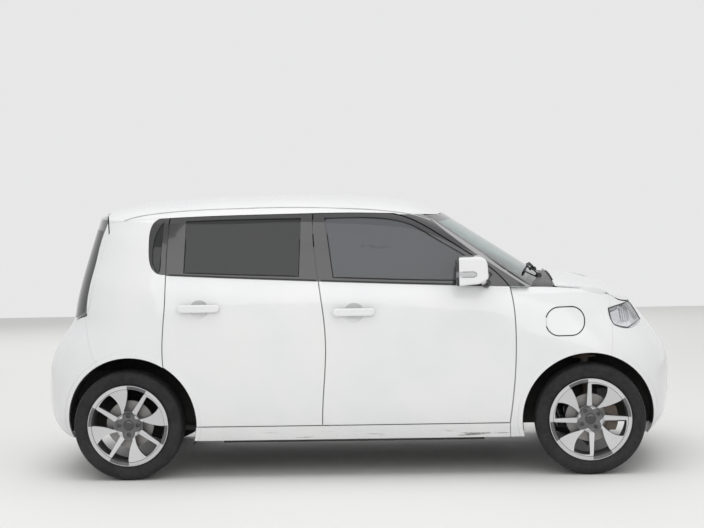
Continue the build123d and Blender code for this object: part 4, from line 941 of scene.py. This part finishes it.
def strip_mesh(name, points, width, height, material, closed=False):
    """A rubber or trim section of elliptic shape along points, as a mesh."""
    points = [point for point in points if point]
    section = bpy.data.curves.new(name + "_section", "CURVE")
    section.dimensions = "2D"
    oval = section.splines.new("POLY")
    oval.points.add(11)
    for i, point in enumerate(oval.points):
        angle = 2 * math.pi * i / 12
        point.co = (math.cos(angle) * width / 2, math.sin(angle) * height / 2, 0, 1)
    oval.use_cyclic_u = True
    curve = bpy.data.curves.new(name, "CURVE")
    curve.dimensions = "3D"
    curve.bevel_mode = "OBJECT"
    curve.bevel_object = bpy.data.objects.new(name + "_section", section)
    curve.use_fill_caps = True
    curve.twist_mode = "Z_UP"
    spline = curve.splines.new("POLY")
    spline.points.add(len(points) - 1)
    for place, point in zip(points, spline.points):
        point.co = (*place, 1)
    spline.use_cyclic_u = closed
    holder = linked(bpy.data.objects.new(name + "_curve", curve))
    bpy.context.view_layer.update()
    mesh = bpy.data.meshes.new_from_object(holder.evaluated_get(bpy.context.evaluated_depsgraph_get()))
    mesh.name = name
    bpy.data.objects.remove(holder)
    bpy.data.objects.remove(curve.bevel_object)
    mesh.materials.clear()
    mesh.materials.append(material)
    mesh.shade_smooth()
    return linked(bpy.data.objects.new(name, mesh))


# outlines seen from the side, (x, z) in millimetres
PANES = {
    "front": [
        smooth_run([(-142, 1391), (51, 1391), (222, 1376), (324, 1347), (459, 1269), (607, 1180), (752, 1075)]),
        smooth_run([(722, 1042), (400, 1050), (-97, 1073)]),
        [(-97, 1073), (-120, 1230), (-142, 1391)],
    ],
    "rear": [
        smooth_run([(-886, 1388), (-600, 1393), (-266, 1392)]),
        [(-266, 1392), (-271, 1240), (-277, 1082)],
        smooth_run([(-277, 1082), (-600, 1096), (-897, 1111)]),
        [(-897, 1111), (-892, 1250), (-886, 1388)],
    ],
}
QUARTER_PANE = [smooth_run([(-1006, 1386), (-1045, 1330), (-1068, 1220), (-1060, 1150), (-1028, 1118), (-1016, 1250),
                            (-1006, 1386)])]


def outline_of(runs):
    """One closed outline in metres, without the points that two runs share."""
    points = []
    for spot in ((x / 1000, z / 1000) for run in runs for x, z in run):
        if not points or math.dist(points[-1], spot) > ALIKE:
            points.append(spot)
    if math.dist(points[0], points[-1]) < ALIKE:
        points.pop()
    return points


def seal(name, runs, carriers, side, body, width=0.009, height=0.006, gap=0.003):
    tree = surface_of(*carriers)
    places = [on_side(tree, x, z, side) for x, z in shrunk(outline_of(runs), gap)]
    fasten(strip_mesh(name, places, width, height, RUBBER, closed=True), body)


for side_name, side in SIDES.items():
    for end, runs in PANES.items():
        door = f"{end}_door_{side_name}"
        seal(f"{end}_window_seal_{side_name}", runs, (f"{end}_window_{side_name}", door), side, door)
    carriers = (f"body_side_{side_name}", "quarter_windows")
    seal(f"quarter_seal_{side_name}", QUARTER_PANE, carriers, side, "body", 0.007, 0.005, 0.001)
print("seals made")

# %% [markdown]
# The belt strip is a flat black trim that runs along the foot of each door's glass and wipes it.

# %% Belt strips
BELT_STEPS, BELT_LIFT, BELT_OUT = 24, 0.007, 0.0005
BELT_ENDS = {"front": (-0.160, 0.700), "rear": (-0.975, -0.185)}


def belt_strip(end, side_name, side):
    door = f"{end}_door_{side_name}"
    tree = surface_of(door)
    start, stop = BELT_ENDS[end]
    spots = [start + (stop - start) * i / BELT_STEPS for i in range(BELT_STEPS + 1)]
    places = [on_side(tree, x, belt(x) + BELT_LIFT, side, BELT_OUT) for x in spots]
    fasten(strip_mesh(f"{end}_belt_strip_{side_name}", places, 0.013, 0.006, SATIN_BLACK), door)


for side_name, side in SIDES.items():
    for end in BELT_ENDS:
        belt_strip(end, side_name, side)
print("belt strips made")

# %% [markdown]
# Behind its clear cover the headlamp holds a bright reflector at the rear, a block with upright bars and
# a black corner at the front top.  Each is a patch of the lamp's outline, found on the bowl's curved
# floor by rays and given thickness.  A thin rubber frame follows the cover's edge.

# %% Headlamp innards
LAMP = (smooth_run([(1368, 875), (1440, 886), (1506, 887), (1540, 845), (1566, 790)], 4)
        + smooth_run([(1473, 765), (1398, 787), (1375, 825)], 4))
LAMP_MARGIN = (9, 7)
BARS, BAR_START, BAR_STEP, BAR_WIDTH, BAR_LEVELS = 4, 1446, 14, 6, (792, 862)
NO_SURFACE = 9.0
# kind: (low corner, high corner, stand, thickness, material, rows), with corners in millimetres
LAMP_PARTS = {
    "lamp_reflector": ((1376, 782), (1432, 878), 0.002, 0.003, CHROME, (12, 12)),
    "lamp_block": ((1440, 796), (1500, 858), 0.008, 0.006, CAST_ALLOY, (8, 8)),
    "lamp_corner": ((1452, 862), (1530, 884), 0.006, 0.004, GLOSS_BLACK, (10, 4)),
}


def inside_outline(x, z, outline):
    inside = False
    for a, b in zip(outline, outline[1:] + outline[:1]):
        if (a[1] > z) != (b[1] > z) and x < (b[0] - a[0]) * (z - a[1]) / (b[1] - a[1]) + a[0]:
            inside = not inside
    return inside


def well_inside(x, z):
    """Inside the lamp's outline, clear of its edge."""
    dx, dz = LAMP_MARGIN
    return all(inside_outline(x + a, z + b, LAMP) for a in (-dx, dx) for b in (-dz, dz))


def patch(name, low, high, tree, side, stand, thick, material, rows, keep, body="body"):
    """A thin curved plate that stands off a surface, seen from the side as a box from low to high (mm)."""
    bm = bmesh.new()
    bmesh.ops.create_grid(bm, x_segments=rows[0], y_segments=rows[1], size=0.5)
    for vertex in bm.verts:
        x = (low[0] + (vertex.co.x + 0.5) * (high[0] - low[0])) / 1000
        z = (low[1] + (vertex.co.y + 0.5) * (high[1] - low[1])) / 1000
        hit = on_side(tree, x, z, side)
        vertex.co = Vector((x, hit.y if hit else NO_SURFACE, z))
    lost = [v for v in bm.verts if v.co.y == NO_SURFACE or not keep(v.co.x * 1000, v.co.z * 1000)]
    bmesh.ops.delete(bm, geom=lost, context="VERTS")
    bmesh.ops.recalc_face_normals(bm, faces=bm.faces)
    if sum(f.normal.y for f in bm.faces) * side < 0:
        bmesh.ops.reverse_faces(bm, faces=bm.faces)
    moved(bm, (0, side * stand, 0))
    bmesh.ops.solidify(bm, geom=bm.faces[:], thickness=thick)
    fasten(finish_mesh(name, bm, material, 40.0), body)


bowl = surface_of("headlamps")
for side_name, side in SIDES.items():
    for kind, (low, high, stand, thick, material, rows) in LAMP_PARTS.items():
        patch(f"{kind}_{side_name}", low, high, bowl, side, stand, thick, material, rows, well_inside)
    for bar in range(BARS):
        x = BAR_START + BAR_STEP * bar
        corners = zip((x, x + BAR_WIDTH), BAR_LEVELS)
        patch(f"lamp_bar_{side_name}_{bar}", *corners, bowl, side, 0.014, 0.004, CHROME, (2, 8), well_inside)
    seal(f"lamp_frame_{side_name}", [LAMP], ("headlamp_covers", "headlamps"), side, "body", 0.007, 0.005)
print("lamp innards made")

# %% [markdown]
# The wing has an upright ledge inside the bonnet's edge, which closes the view under the bonnet from
# the side.  It runs from the wing's highest point up to the bonnet's lowest, a few millimetres inboard.

# %% Ledges beside the bonnet
LEDGE_SPAN, LEDGE_STEPS = (1.095, 1.520), 34
LEDGE_SEARCH = [0.88 + 0.002 * i for i in range(90)]
LEDGE_INBOARD, LEDGE_SLANT, LEDGE_BELOW, LEDGE_ABOVE = 0.008, 0.020, 0.012, 0.006


def first_hit(tree, x, side, heights):
    return next((hit for z in heights if (hit := on_side(tree, x, z, side))), None)


def ledge(side_name, side):
    wing, bonnet = surface_of(f"front_wing_{side_name}"), surface_of("bonnet")
    bm = bmesh.new()
    rows = []
    for i in range(LEDGE_STEPS + 1):
        x = LEDGE_SPAN[0] + (LEDGE_SPAN[1] - LEDGE_SPAN[0]) * i / LEDGE_STEPS
        low, high = first_hit(wing, x, side, LEDGE_SEARCH[::-1]), first_hit(bonnet, x, side, LEDGE_SEARCH)
        if low and high:
            inboard = max(min(abs(low.y), abs(high.y)), abs(low.y) - LEDGE_SLANT) - LEDGE_INBOARD
            ends = (low.z - LEDGE_BELOW, high.z + LEDGE_ABOVE)
            rows.append([bm.verts.new((x, side * inboard, z)) for z in ends])
    for first, second in zip(rows, rows[1:]):
        bm.faces.new((first[0], second[0], second[1], first[1]))
    if side < 0:
        bmesh.ops.recalc_face_normals(bm, faces=bm.faces)
    bmesh.ops.solidify(bm, geom=bm.faces[:], thickness=0.002)
    bmesh.ops.recalc_face_normals(bm, faces=bm.faces)
    fasten(finish_mesh(f"bonnet_ledge_{side_name}", bm, ROOF_PAINT, 40.0), "body")


for side_name, side in SIDES.items():
    ledge(side_name, side)
print("ledges made")

# %% [markdown]
# A narrow moulding covers the roof seam on each side, and a thin rubber ring lies round the charging flap.

# %% Roof mouldings and flap ring
ROOF_SEAM, ROOF_SPAN, ROOF_STEPS, ROOF_LOWEST = 0.612, (-1.235, 0.425), 40, 1.3
LIFT = Vector((0, 0, 0.0005))
FLAP_MIDDLE, FLAP_HALF, FLAP_CORNER = (1.131, 0.820), (0.1005, 0.0715), 0.068


def on_top(tree, x, y):
    """The place and the normal where a ray from above meets the surface."""
    return tree.ray_cast(Vector((x, y, 3.0)), Vector((0, 0, -1)))[:2]


def roof_moulding(side_name, side):
    tree = surface_of("roof", f"body_side_{side_name}")
    first, last = ROOF_SPAN
    spots = [first + (last - first) * i / ROOF_STEPS for i in range(ROOF_STEPS + 1)]
    hits = [on_top(tree, x, side * ROOF_SEAM)[0] for x in spots]
    places = [hit + LIFT for hit in hits if hit and hit.z > ROOF_LOWEST]
    fasten(strip_mesh(f"roof_moulding_{side_name}", places, 0.010, 0.006, MOULDING), "body")


def flap_ring():
    tree = surface_of("charge_flap")
    outline = rounded_outline(*FLAP_HALF, FLAP_CORNER, 13)
    places = [on_side(tree, FLAP_MIDDLE[0] + x, FLAP_MIDDLE[1] + z, -1) for x, z in outline]
    piece = strip_mesh("flap_ring", places, 0.0020, 0.0020, MOULDING, closed=True)
    fasten(piece, "charge_flap")


for side_name, side in SIDES.items():
    roof_moulding(side_name, side)
flap_ring()
print("mouldings made")

# %% [markdown]
# Behind each rear wheel a dark splash panel closes the arch inboard, and a curved shield closes it
# ahead, so that no light shows through.

# %% Rear splash panels
PANEL_SIZE, PANEL_CORNER, PANEL_AT = (0.66, 0.004, 0.34), 0.08, (-1.205, 0.520, 0.400)
SHIELD_RADIUS, SHIELD_LIFT, SHIELD_TURN = 0.3525, 0.02, 24
SHIELD_INNER, SHIELD_WIDTH = 0.545, 0.225


def splash_panel(side):
    bm = block(PANEL_SIZE)
    bevelled(bm, running(bm, 1, PANEL_SIZE[1] * 0.75), PANEL_CORNER, 6)
    moved(bm, (PANEL_AT[0], side * PANEL_AT[1], PANEL_AT[2]))
    return bm


def shield(side):
    arch_x, arch_z = ARCHES[0][:2]
    bm = bmesh.new()
    start = Vector((arch_x + SHIELD_RADIUS, side * SHIELD_INNER, arch_z + SHIELD_LIFT))
    bm.edges.new([bm.verts.new(spot) for spot in (start, start + Vector((0, side * SHIELD_WIDTH, 0)))])
    bmesh.ops.spin(bm, geom=bm.verts[:] + bm.edges[:], cent=(arch_x, 0, arch_z), axis=(0, 1, 0),
                   angle=math.radians(SHIELD_TURN), steps=10)
    bmesh.ops.recalc_face_normals(bm, faces=bm.faces)
    bmesh.ops.solidify(bm, geom=bm.faces[:], thickness=0.003)
    bmesh.ops.recalc_face_normals(bm, faces=bm.faces)
    return bm


for side_name, side in SIDES.items():
    for kind, bm in (("rear_splash_panel", splash_panel(side)), ("rear_shield", shield(side))):
        fasten(finish_mesh(f"{kind}_{side_name}", bm, LINER), "body")
print("splash panels made")

# %% [markdown]
# The door mirrors carry their glass in the hollow at the back, and a clear repeater strip with a thin dark
# edge across the front half of the shell.  The shell's own curve is found by rays, so the strip lies on it.

# %% Door mirror details
REPEATER = (555, 1078), (664, 1106)
REPEATER_EDGE = [(556, 1078), (600, 1078), (650, 1078), (661, 1083), (665, 1092), (661, 1101), (650, 1106), (600, 1106),
                 (556, 1106)]
GLASS_X, GLASS_ENDS, GLASS_LEVELS = 0.566, (0.866, 1.000), (1.054, 1.158)


def repeater_shape(x, z):
    """Inside a strip whose front end is round."""
    (low_x, low_z), (high_x, high_z) = REPEATER
    half = (high_z - low_z) / 2
    return x < high_x - half or math.hypot(x - high_x + half, z - low_z - half) <= half + 0.5


def rounded_plate(name, x, ends, levels, thick, radius, material):
    """A flat plate across X with rounded corners, between two places along Y and two levels."""
    bm = block((thick, ends[1] - ends[0], levels[1] - levels[0]))
    bevelled(bm, running(bm, 0, thick * 0.9), radius, 8)
    bevelled(bm, [e for e in bm.edges if e.calc_face_angle(0) > 1.2], thick * 0.3, 2)
    moved(bm, (x, sum(ends) / 2, sum(levels) / 2))
    return finish_mesh(name, bm, material, 40.0)


for side_name, side in SIDES.items():
    door = f"front_door_{side_name}"
    ends = sorted(side * y for y in GLASS_ENDS)
    glass = rounded_plate(f"mirror_glass_{side_name}", GLASS_X, ends, GLASS_LEVELS, 0.003, 0.030, MIRROR_GLASS)
    fasten(glass, door)
    tree = surface_of(f"door_mirror_{side_name}")
    patch(f"repeater_{side_name}", *REPEATER, tree, side, 0.0004, 0.0022, CLEAR_PLASTIC, (30, 9), repeater_shape, door)
    places = [on_side(tree, x / 1000, z / 1000, side, 0.0006) for x, z in REPEATER_EDGE]
    line = strip_mesh(f"repeater_edge_{side_name}", places, 0.0028, 0.0024, EXTERIOR_BLACK)
    fasten(line, door)
print("mirror glass and repeaters made")

# %% [markdown]
# Two wipers park along the foot of the windscreen.  Each has a pivot cap, an arm and a rubber blade.  The
# surfaces of the screen and of the panel below it are found by rays from above.

# %% Wipers
PIVOT = [(0, 0), (0, 17), (12, 16), (19, 11), (21, 0)]
PIVOT_X, BLADE_STEPS, BLADE_STAND = 1.02, 16, 0.010
ARM_RISE, KNEE = Vector((0, 0, 0.010)), 0.35
# name: (the pivot's place across the car, the blade's two ends)
WIPERS = {
    "wiper_left": (0.30, (0.975, 0.44), (0.985, -0.12)),
    "wiper_right": (-0.28, (0.965, -0.10), (0.925, -0.52)),
}


def wiper(name, y, first, last, scuttle, screen):
    pivot = on_top(scuttle, PIVOT_X, y)[0]
    cap = turned_piece(PIVOT, 24)
    rotated(cap, 90, "X")
    moved(cap, pivot)
    fasten(finish_mesh(f"{name}_pivot", cap, SATIN_BLACK), "body")
    spots = [Vector(first).lerp(Vector(last), i / BLADE_STEPS) for i in range(BLADE_STEPS + 1)]
    hits = [on_top(screen, *spot) for spot in spots]
    line = [hit + normal * BLADE_STAND for hit, normal in hits if hit]
    fasten(strip_mesh(f"{name}_blade", line, 0.009, 0.016, RUBBER), "body")
    middle = line[len(line) // 2] + Vector((0.002, 0, 0.008))
    points = [pivot + ARM_RISE, pivot.lerp(middle, KNEE) + ARM_RISE, middle]
    fasten(strip_mesh(f"{name}_arm", points, 0.015, 0.007, SATIN_BLACK), "body")


for name, settings in WIPERS.items():
    wiper(name, *settings, surface_of("scuttle_panel"), surface_of("windscreen"))
print("wipers made")

# %% [markdown]
# A seat is foam in a sewn cover, so its cushion and back swell between their seams.  Each pad begins as
# a rounded block with raised bolsters.  Cloth with a little air pressure then blows it up, its movement
# is capped, and the result is kept as the mesh.  Piping is laid along the seams afterwards, and the
# headrest stands on two steel posts.

# %% Padded seats
PRESSURE, FRAMES, STIFFNESS = 4.0, 20, 12
LONG_EDGE, CUTS, BOLSTER_START = 0.06, 10, 0.55
PIPING_CORNER, PIPING_INSET, PIPING_SIZE = 0.05, 0.002, 0.006
RAIL_SIZE, RAIL_INSET, RAIL_PAST = (0.034, 0.030), 0.03, 0.06
CUSHION, BACK, HEADREST = (0.455, 0.440, 0.100), (0.580, 0.430, 0.085), (0.165, 0.225, 0.070)
SEAT_OUT = 0.350
POST = (-0.283, 1.000), (-0.312, 1.085)


def seat_fabric(name, dark, light, threads=420.0):
    material, tree, shader = finish(name, Roughness=0.88, Sheen_Weight=0.25)
    tone = noise(place_of(tree)[0], 7.0).ramp(*MIDRANGE).blend(dark, light)
    cloth = placed(tree, WEAVE, Colour=tone, Threads=threads)
    fill(shader, Base_Color=cloth["Colour"], Normal=bump(cloth["Height"], 0.5, 0.0008))
    return material


SEAT_CLOTH = seat_fabric("seat_cloth", (0.055, 0.057, 0.062, 1), (0.085, 0.087, 0.093, 1))


def bolstered(size, corner, bolster):
    """A rounded block, whose long sides rise by a bolster's height on its top."""
    bm = block(size, corner=corner)
    long = [e for e in bm.edges if e.calc_length() > LONG_EDGE]
    bmesh.ops.subdivide_edges(bm, edges=long, cuts=CUTS, use_grid_fill=True)
    for vertex in bm.verts:
        across = abs(vertex.co.y) / (size[1] / 2)
        lift = max(0.0, (across - BOLSTER_START) / (1 - BOLSTER_START))
        if vertex.co.z > 0:
            vertex.co.z += bolster * (lift * lift * (3 - 2 * lift) - 0.25)
    return bm


def baked(obj):
    """Keeps what the object's modifiers made as its mesh."""
    bpy.context.view_layer.update()
    fresh = bpy.data.meshes.new_from_object(obj.evaluated_get(bpy.context.evaluated_depsgraph_get()))
    fresh.name = obj.name
    obj.modifiers.clear()
    obj.data = fresh


def inflated(obj, cap):
    """Lets pressure swell a pad, and caps how far its points move."""
    start = [v.co.copy() for v in obj.data.vertices]
    cloth = obj.modifiers.new("cloth", "CLOTH")
    settings = cloth.settings
    settings.use_pressure, settings.uniform_pressure_force = True, PRESSURE
    settings.effector_weights.gravity, settings.quality = 0.0, 4
    settings.tension_stiffness = settings.compression_stiffness = STIFFNESS
    cloth.point_cache.frame_start, cloth.point_cache.frame_end = 1, FRAMES
    for frame_number in range(1, FRAMES + 1):
        scene.frame_set(frame_number)
    baked(obj)
    scene.frame_set(1)
    for vertex, first in zip(obj.data.vertices, start):
        move = vertex.co - first
        if move.length > cap:
            vertex.co = first + move.normalized() * cap


def blown(obj, voxel, cap):
    """Remeshes a pad evenly, swells it and smooths the result."""
    remesh = obj.modifiers.new("even_mesh", "REMESH")
    remesh.mode, remesh.voxel_size, remesh.use_smooth_shade = "VOXEL", voxel, True
    baked(obj)
    inflated(obj, cap)
    smooth = obj.modifiers.new("fine", "SUBSURF")
    smooth.levels = smooth.render_levels = 1
    baked(obj)
    obj.data.materials.clear()
    obj.data.materials.append(SEAT_CLOTH)
    obj.data.shade_smooth()


def pad(name, size, place, tilt, corner, replaced, bolster=0.0, voxel=0.010, cap=0.014, turn=0.0):
    bm = bolstered(size, corner, bolster)
    turned_by = Matrix.Rotation(math.radians(tilt), 4, "Y") @ Matrix.Rotation(math.radians(turn), 4, "Y")
    bmesh.ops.transform(bm, matrix=Matrix.Translation(place) @ turned_by, verts=bm.verts)
    obj = finish_mesh(name, bm, SEAT_CLOTH)
    blown(obj, voxel, cap)
    return fasten(obj, "body", replaced)


def piping(name, size, place, tilt, level):
    """A sewn cord round a pad, a little below its top face."""
    outline = rounded_outline(size[0] / 2 - PIPING_INSET, size[1] / 2 - PIPING_INSET, PIPING_CORNER, 7)
    turned_by = Matrix.Translation(place) @ Matrix.Rotation(math.radians(tilt), 4, "Y")
    points = [turned_by @ Vector((x, y, level)) for x, y in outline]
    piece = strip_mesh(name, points, PIPING_SIZE, PIPING_SIZE, SEAT_PIPING, closed=True)
    fasten(piece, "body")


def seat_base(name, low, high, replaced):
    """The plinth under a cushion, with its rails."""
    low, high = Vector(low), Vector(high)
    size, middle = high - low, (low + high) / 2
    bm = bmesh.new()
    rail_wide, rail_high = RAIL_SIZE
    for y in (low.y + RAIL_INSET, high.y - RAIL_INSET):
        place = (middle.x, y, low.z + rail_high / 2)
        merge_into(bm, block((size.x + RAIL_PAST, rail_wide, rail_high), place, 0.004, 2))
    merge_into(bm, block((size.x, size.y, size.z - 0.028), middle + Vector((0, 0, 0.014)), 0.016, 3))
    return fasten(finish_mesh(name, bm, CABIN_PLASTIC), "body", replaced)


pads = []
for side_name, side in SIDES.items():
    y = side * SEAT_OUT
    cushion_at, back_at, headrest_at = (0.060, y, 0.458), (-0.205, y, 0.778), (-0.325, y, 1.125)
    pads += [
        pad(f"front_cushion_{side_name}", CUSHION, cushion_at, -3.0, 0.035, "front_seats", 0.022),
        pad(f"front_back_{side_name}", BACK, back_at, -18.0, 0.032, "front_seats", 0.028, turn=90.0),
        pad(f"headrest_{side_name}", HEADREST, headrest_at, -14.0, 0.028, "front_seats", 0.0, 0.008, 0.008, 90.0),
    ]
    piping(f"front_cushion_piping_{side_name}", CUSHION, cushion_at, -3.0, 0.045)
    piping(f"front_back_piping_{side_name}", BACK, back_at, -18.0 + 90.0, 0.040)
    for post, shift in enumerate((-0.06, 0.06)):
        ends = [Vector((x, y + shift, z)) for x, z in POST]
        bar = strip_mesh(f"headrest_post_{side_name}_{post}", ends, 0.011, 0.011, CHROME)
        fasten(bar, "body")
    low, high = (-0.160, y - 0.185, 0.302), (0.240, y + 0.185, 0.412)
    seat_base(f"front_seat_base_{side_name}", low, high, "front_seats")
pads += [
    pad("rear_cushion", (0.420, 1.180, 0.090), (-0.620, 0, 0.470), -3.0, 0.030, "rear_seat", 0.0, 0.013, 0.016),
    pad("rear_back", (0.520, 1.170, 0.090), (-0.865, 0, 0.835), -14.0, 0.030, "rear_seat", 0.0, 0.013, 0.014, 90.0),
]
seat_base("rear_seat_base", (-0.830, -0.540, 0.302), (-0.470, 0.540, 0.428), "rear_seat")
print("pad triangles:", sum(len(p.vertices) - 2 for o in pads for p in o.data.polygons))

# %% [markdown]
# On the dashboard are a wide screen, a small display behind the wheel, four round vents and a selector
# knob.  The steering wheel gets its padded middle.

# %% Dashboard and controls
# name: (place along X, ends across, levels, thickness, corner)
DISPLAYS = {
    "centre_screen": (0.606, (-0.135, 0.115), (0.902, 1.052), 0.012, 0.012),
    "driver_display": (0.604, (0.262, 0.452), (0.930, 0.992), 0.008, 0.010),
}
VENT = [(0, 26), (4, 30), (8, 30), (9, 27), (6, 25), (0, 25)]
VENT_PLANE, VENT_LEVEL, VENT_RADIUS = 0.619, 0.885, 0.025
VENT_PLACES, VENT_SLATS = (-0.60, -0.20, 0.16, 0.60), (-0.012, 0, 0.012)
KNOB_AT = (0.641, 0, 0.66)
KNOB = [(0, 0), (0, 30), (4, 32), (9, 31), (10, 24), (26, 23), (30, 20), (31, 0)]
PAD = [(0, 0), (0, 56), (8, 60), (16, 54), (21, 34), (22.5, 0)]
WHEEL_CENTRE, COLUMN = Vector((0.420, 0.350, 0.920)), Vector((0.70, 0, -0.50)).normalized()


def screen_material():
    """Dark glass with a faint glow in broad bands, blank of any words."""
    material, tree, shader = finish("display_glass", Roughness=0.08, Coat_Weight=1.0)
    bands = noise(place_of(tree)[0], 4.0).ramp(0.35, 0.7)
    fill(shader, Base_Color=bands.blend((0.006, 0.008, 0.012, 1), (0.012, 0.018, 0.028, 1)))
    return material


def vent(name, y):
    """A round vent: a ring with its throat, and three slats."""
    bm = turned_piece(VENT)
    rotated(bm, 90, "Z")
    for level in VENT_SLATS:
        chord = 2 * math.sqrt(VENT_RADIUS**2 - level**2)
        merge_into(bm, block((0.006, chord, 0.002), (-0.004, 0, level)))
    moved(bm, (VENT_PLANE, y, VENT_LEVEL))
    fasten(finish_mesh(name, bm, SATIN_BLACK), "body")


def selector():
    bm = turned_piece(KNOB, 40)
    rotated(bm, 90, "X")
    rotated(bm, -90, "Y")
    moved(bm, KNOB_AT)
    fasten(finish_mesh("drive_selector", bm, SATIN_BLACK), "body")


def wheel_pad():
    """A soft rounded pad over the hub of the steering wheel."""
    bm = turned_piece(PAD, 48)
    turn = Vector((0, 1, 0)).rotation_difference(-COLUMN).to_matrix().to_4x4()
    bmesh.ops.transform(bm, matrix=Matrix.Translation(WHEEL_CENTRE - COLUMN * 0.006) @ turn, verts=bm.verts)
    fasten(finish_mesh("steering_pad", bm, LEATHERETTE), "steering_wheel")


display_glass = screen_material()
for name, settings in DISPLAYS.items():
    fasten(rounded_plate(name, *settings, display_glass), "body")
for index, y in enumerate(VENT_PLACES):
    vent(f"vent_{index}", y)
selector()
wheel_pad()
print("cabin controls made")

# %% [markdown]
# Each door has an armrest on its inner side.  The charging socket behind the flap has a round face with
# its ring of contacts.

# %% Armrests and charging socket
ARMREST_SIZE, ARMREST_SUNK = (0.30, 0.050, 0.040), 0.022
ARMRESTS = {"front": (0.30, 0.72), "rear": (-0.45, 0.74)}
SOCKET = [(17.5, 0), (17.5, 30), (19.5, 33), (22.0, 33), (22.0, 29.5), (19.0, 28.5), (19.0, 0)]
PIN = [(18.5, 0), (18.5, 4.2), (24, 4.2), (24, 2.4), (20, 2.4), (20, 0)]
SOCKET_AT, SOCKET_TURN, PIN_CIRCLE = Vector((1.131, -0.745, 0.820)), 14.5, 0.016


def armrest(end, side_name, side):
    door = f"{end}_door_{side_name}"
    x, z = ARMRESTS[end]
    hit = surface_of(door).ray_cast(Vector((x, 0, z)), Vector((0, side, 0)))[0]
    bm = block(ARMREST_SIZE, (x, hit.y - side * ARMREST_SUNK, z), 0.014)
    fasten(finish_mesh(f"{end}_armrest_{side_name}", bm, LEATHERETTE, 40.0), door)


def charge_socket():
    """The socket's face with seven contact holes, set square to the flap."""
    bm = turned_piece(SOCKET, 48)
    ring = [(PIN_CIRCLE * math.cos(a), PIN_CIRCLE * math.sin(a)) for a in (math.pi * i / 3 for i in range(6))]
    for x, z in [(0, 0)] + ring:
        pin = turned_piece(PIN, 20)
        moved(pin, (x, 0, z))
        merge_into(bm, pin)
    bmesh.ops.scale(bm, vec=(1, -1, 1), verts=bm.verts)
    bmesh.ops.reverse_faces(bm, faces=bm.faces)
    tilt = Matrix.Rotation(math.radians(SOCKET_TURN), 4, "Z")
    bmesh.ops.transform(bm, matrix=Matrix.Translation(SOCKET_AT) @ tilt, verts=bm.verts)
    fasten(finish_mesh("charge_socket", bm, SATIN_BLACK), "body")


for side_name, side in SIDES.items():
    for end in ARMRESTS:
        armrest(end, side_name, side)
charge_socket()
print("armrests and socket made")
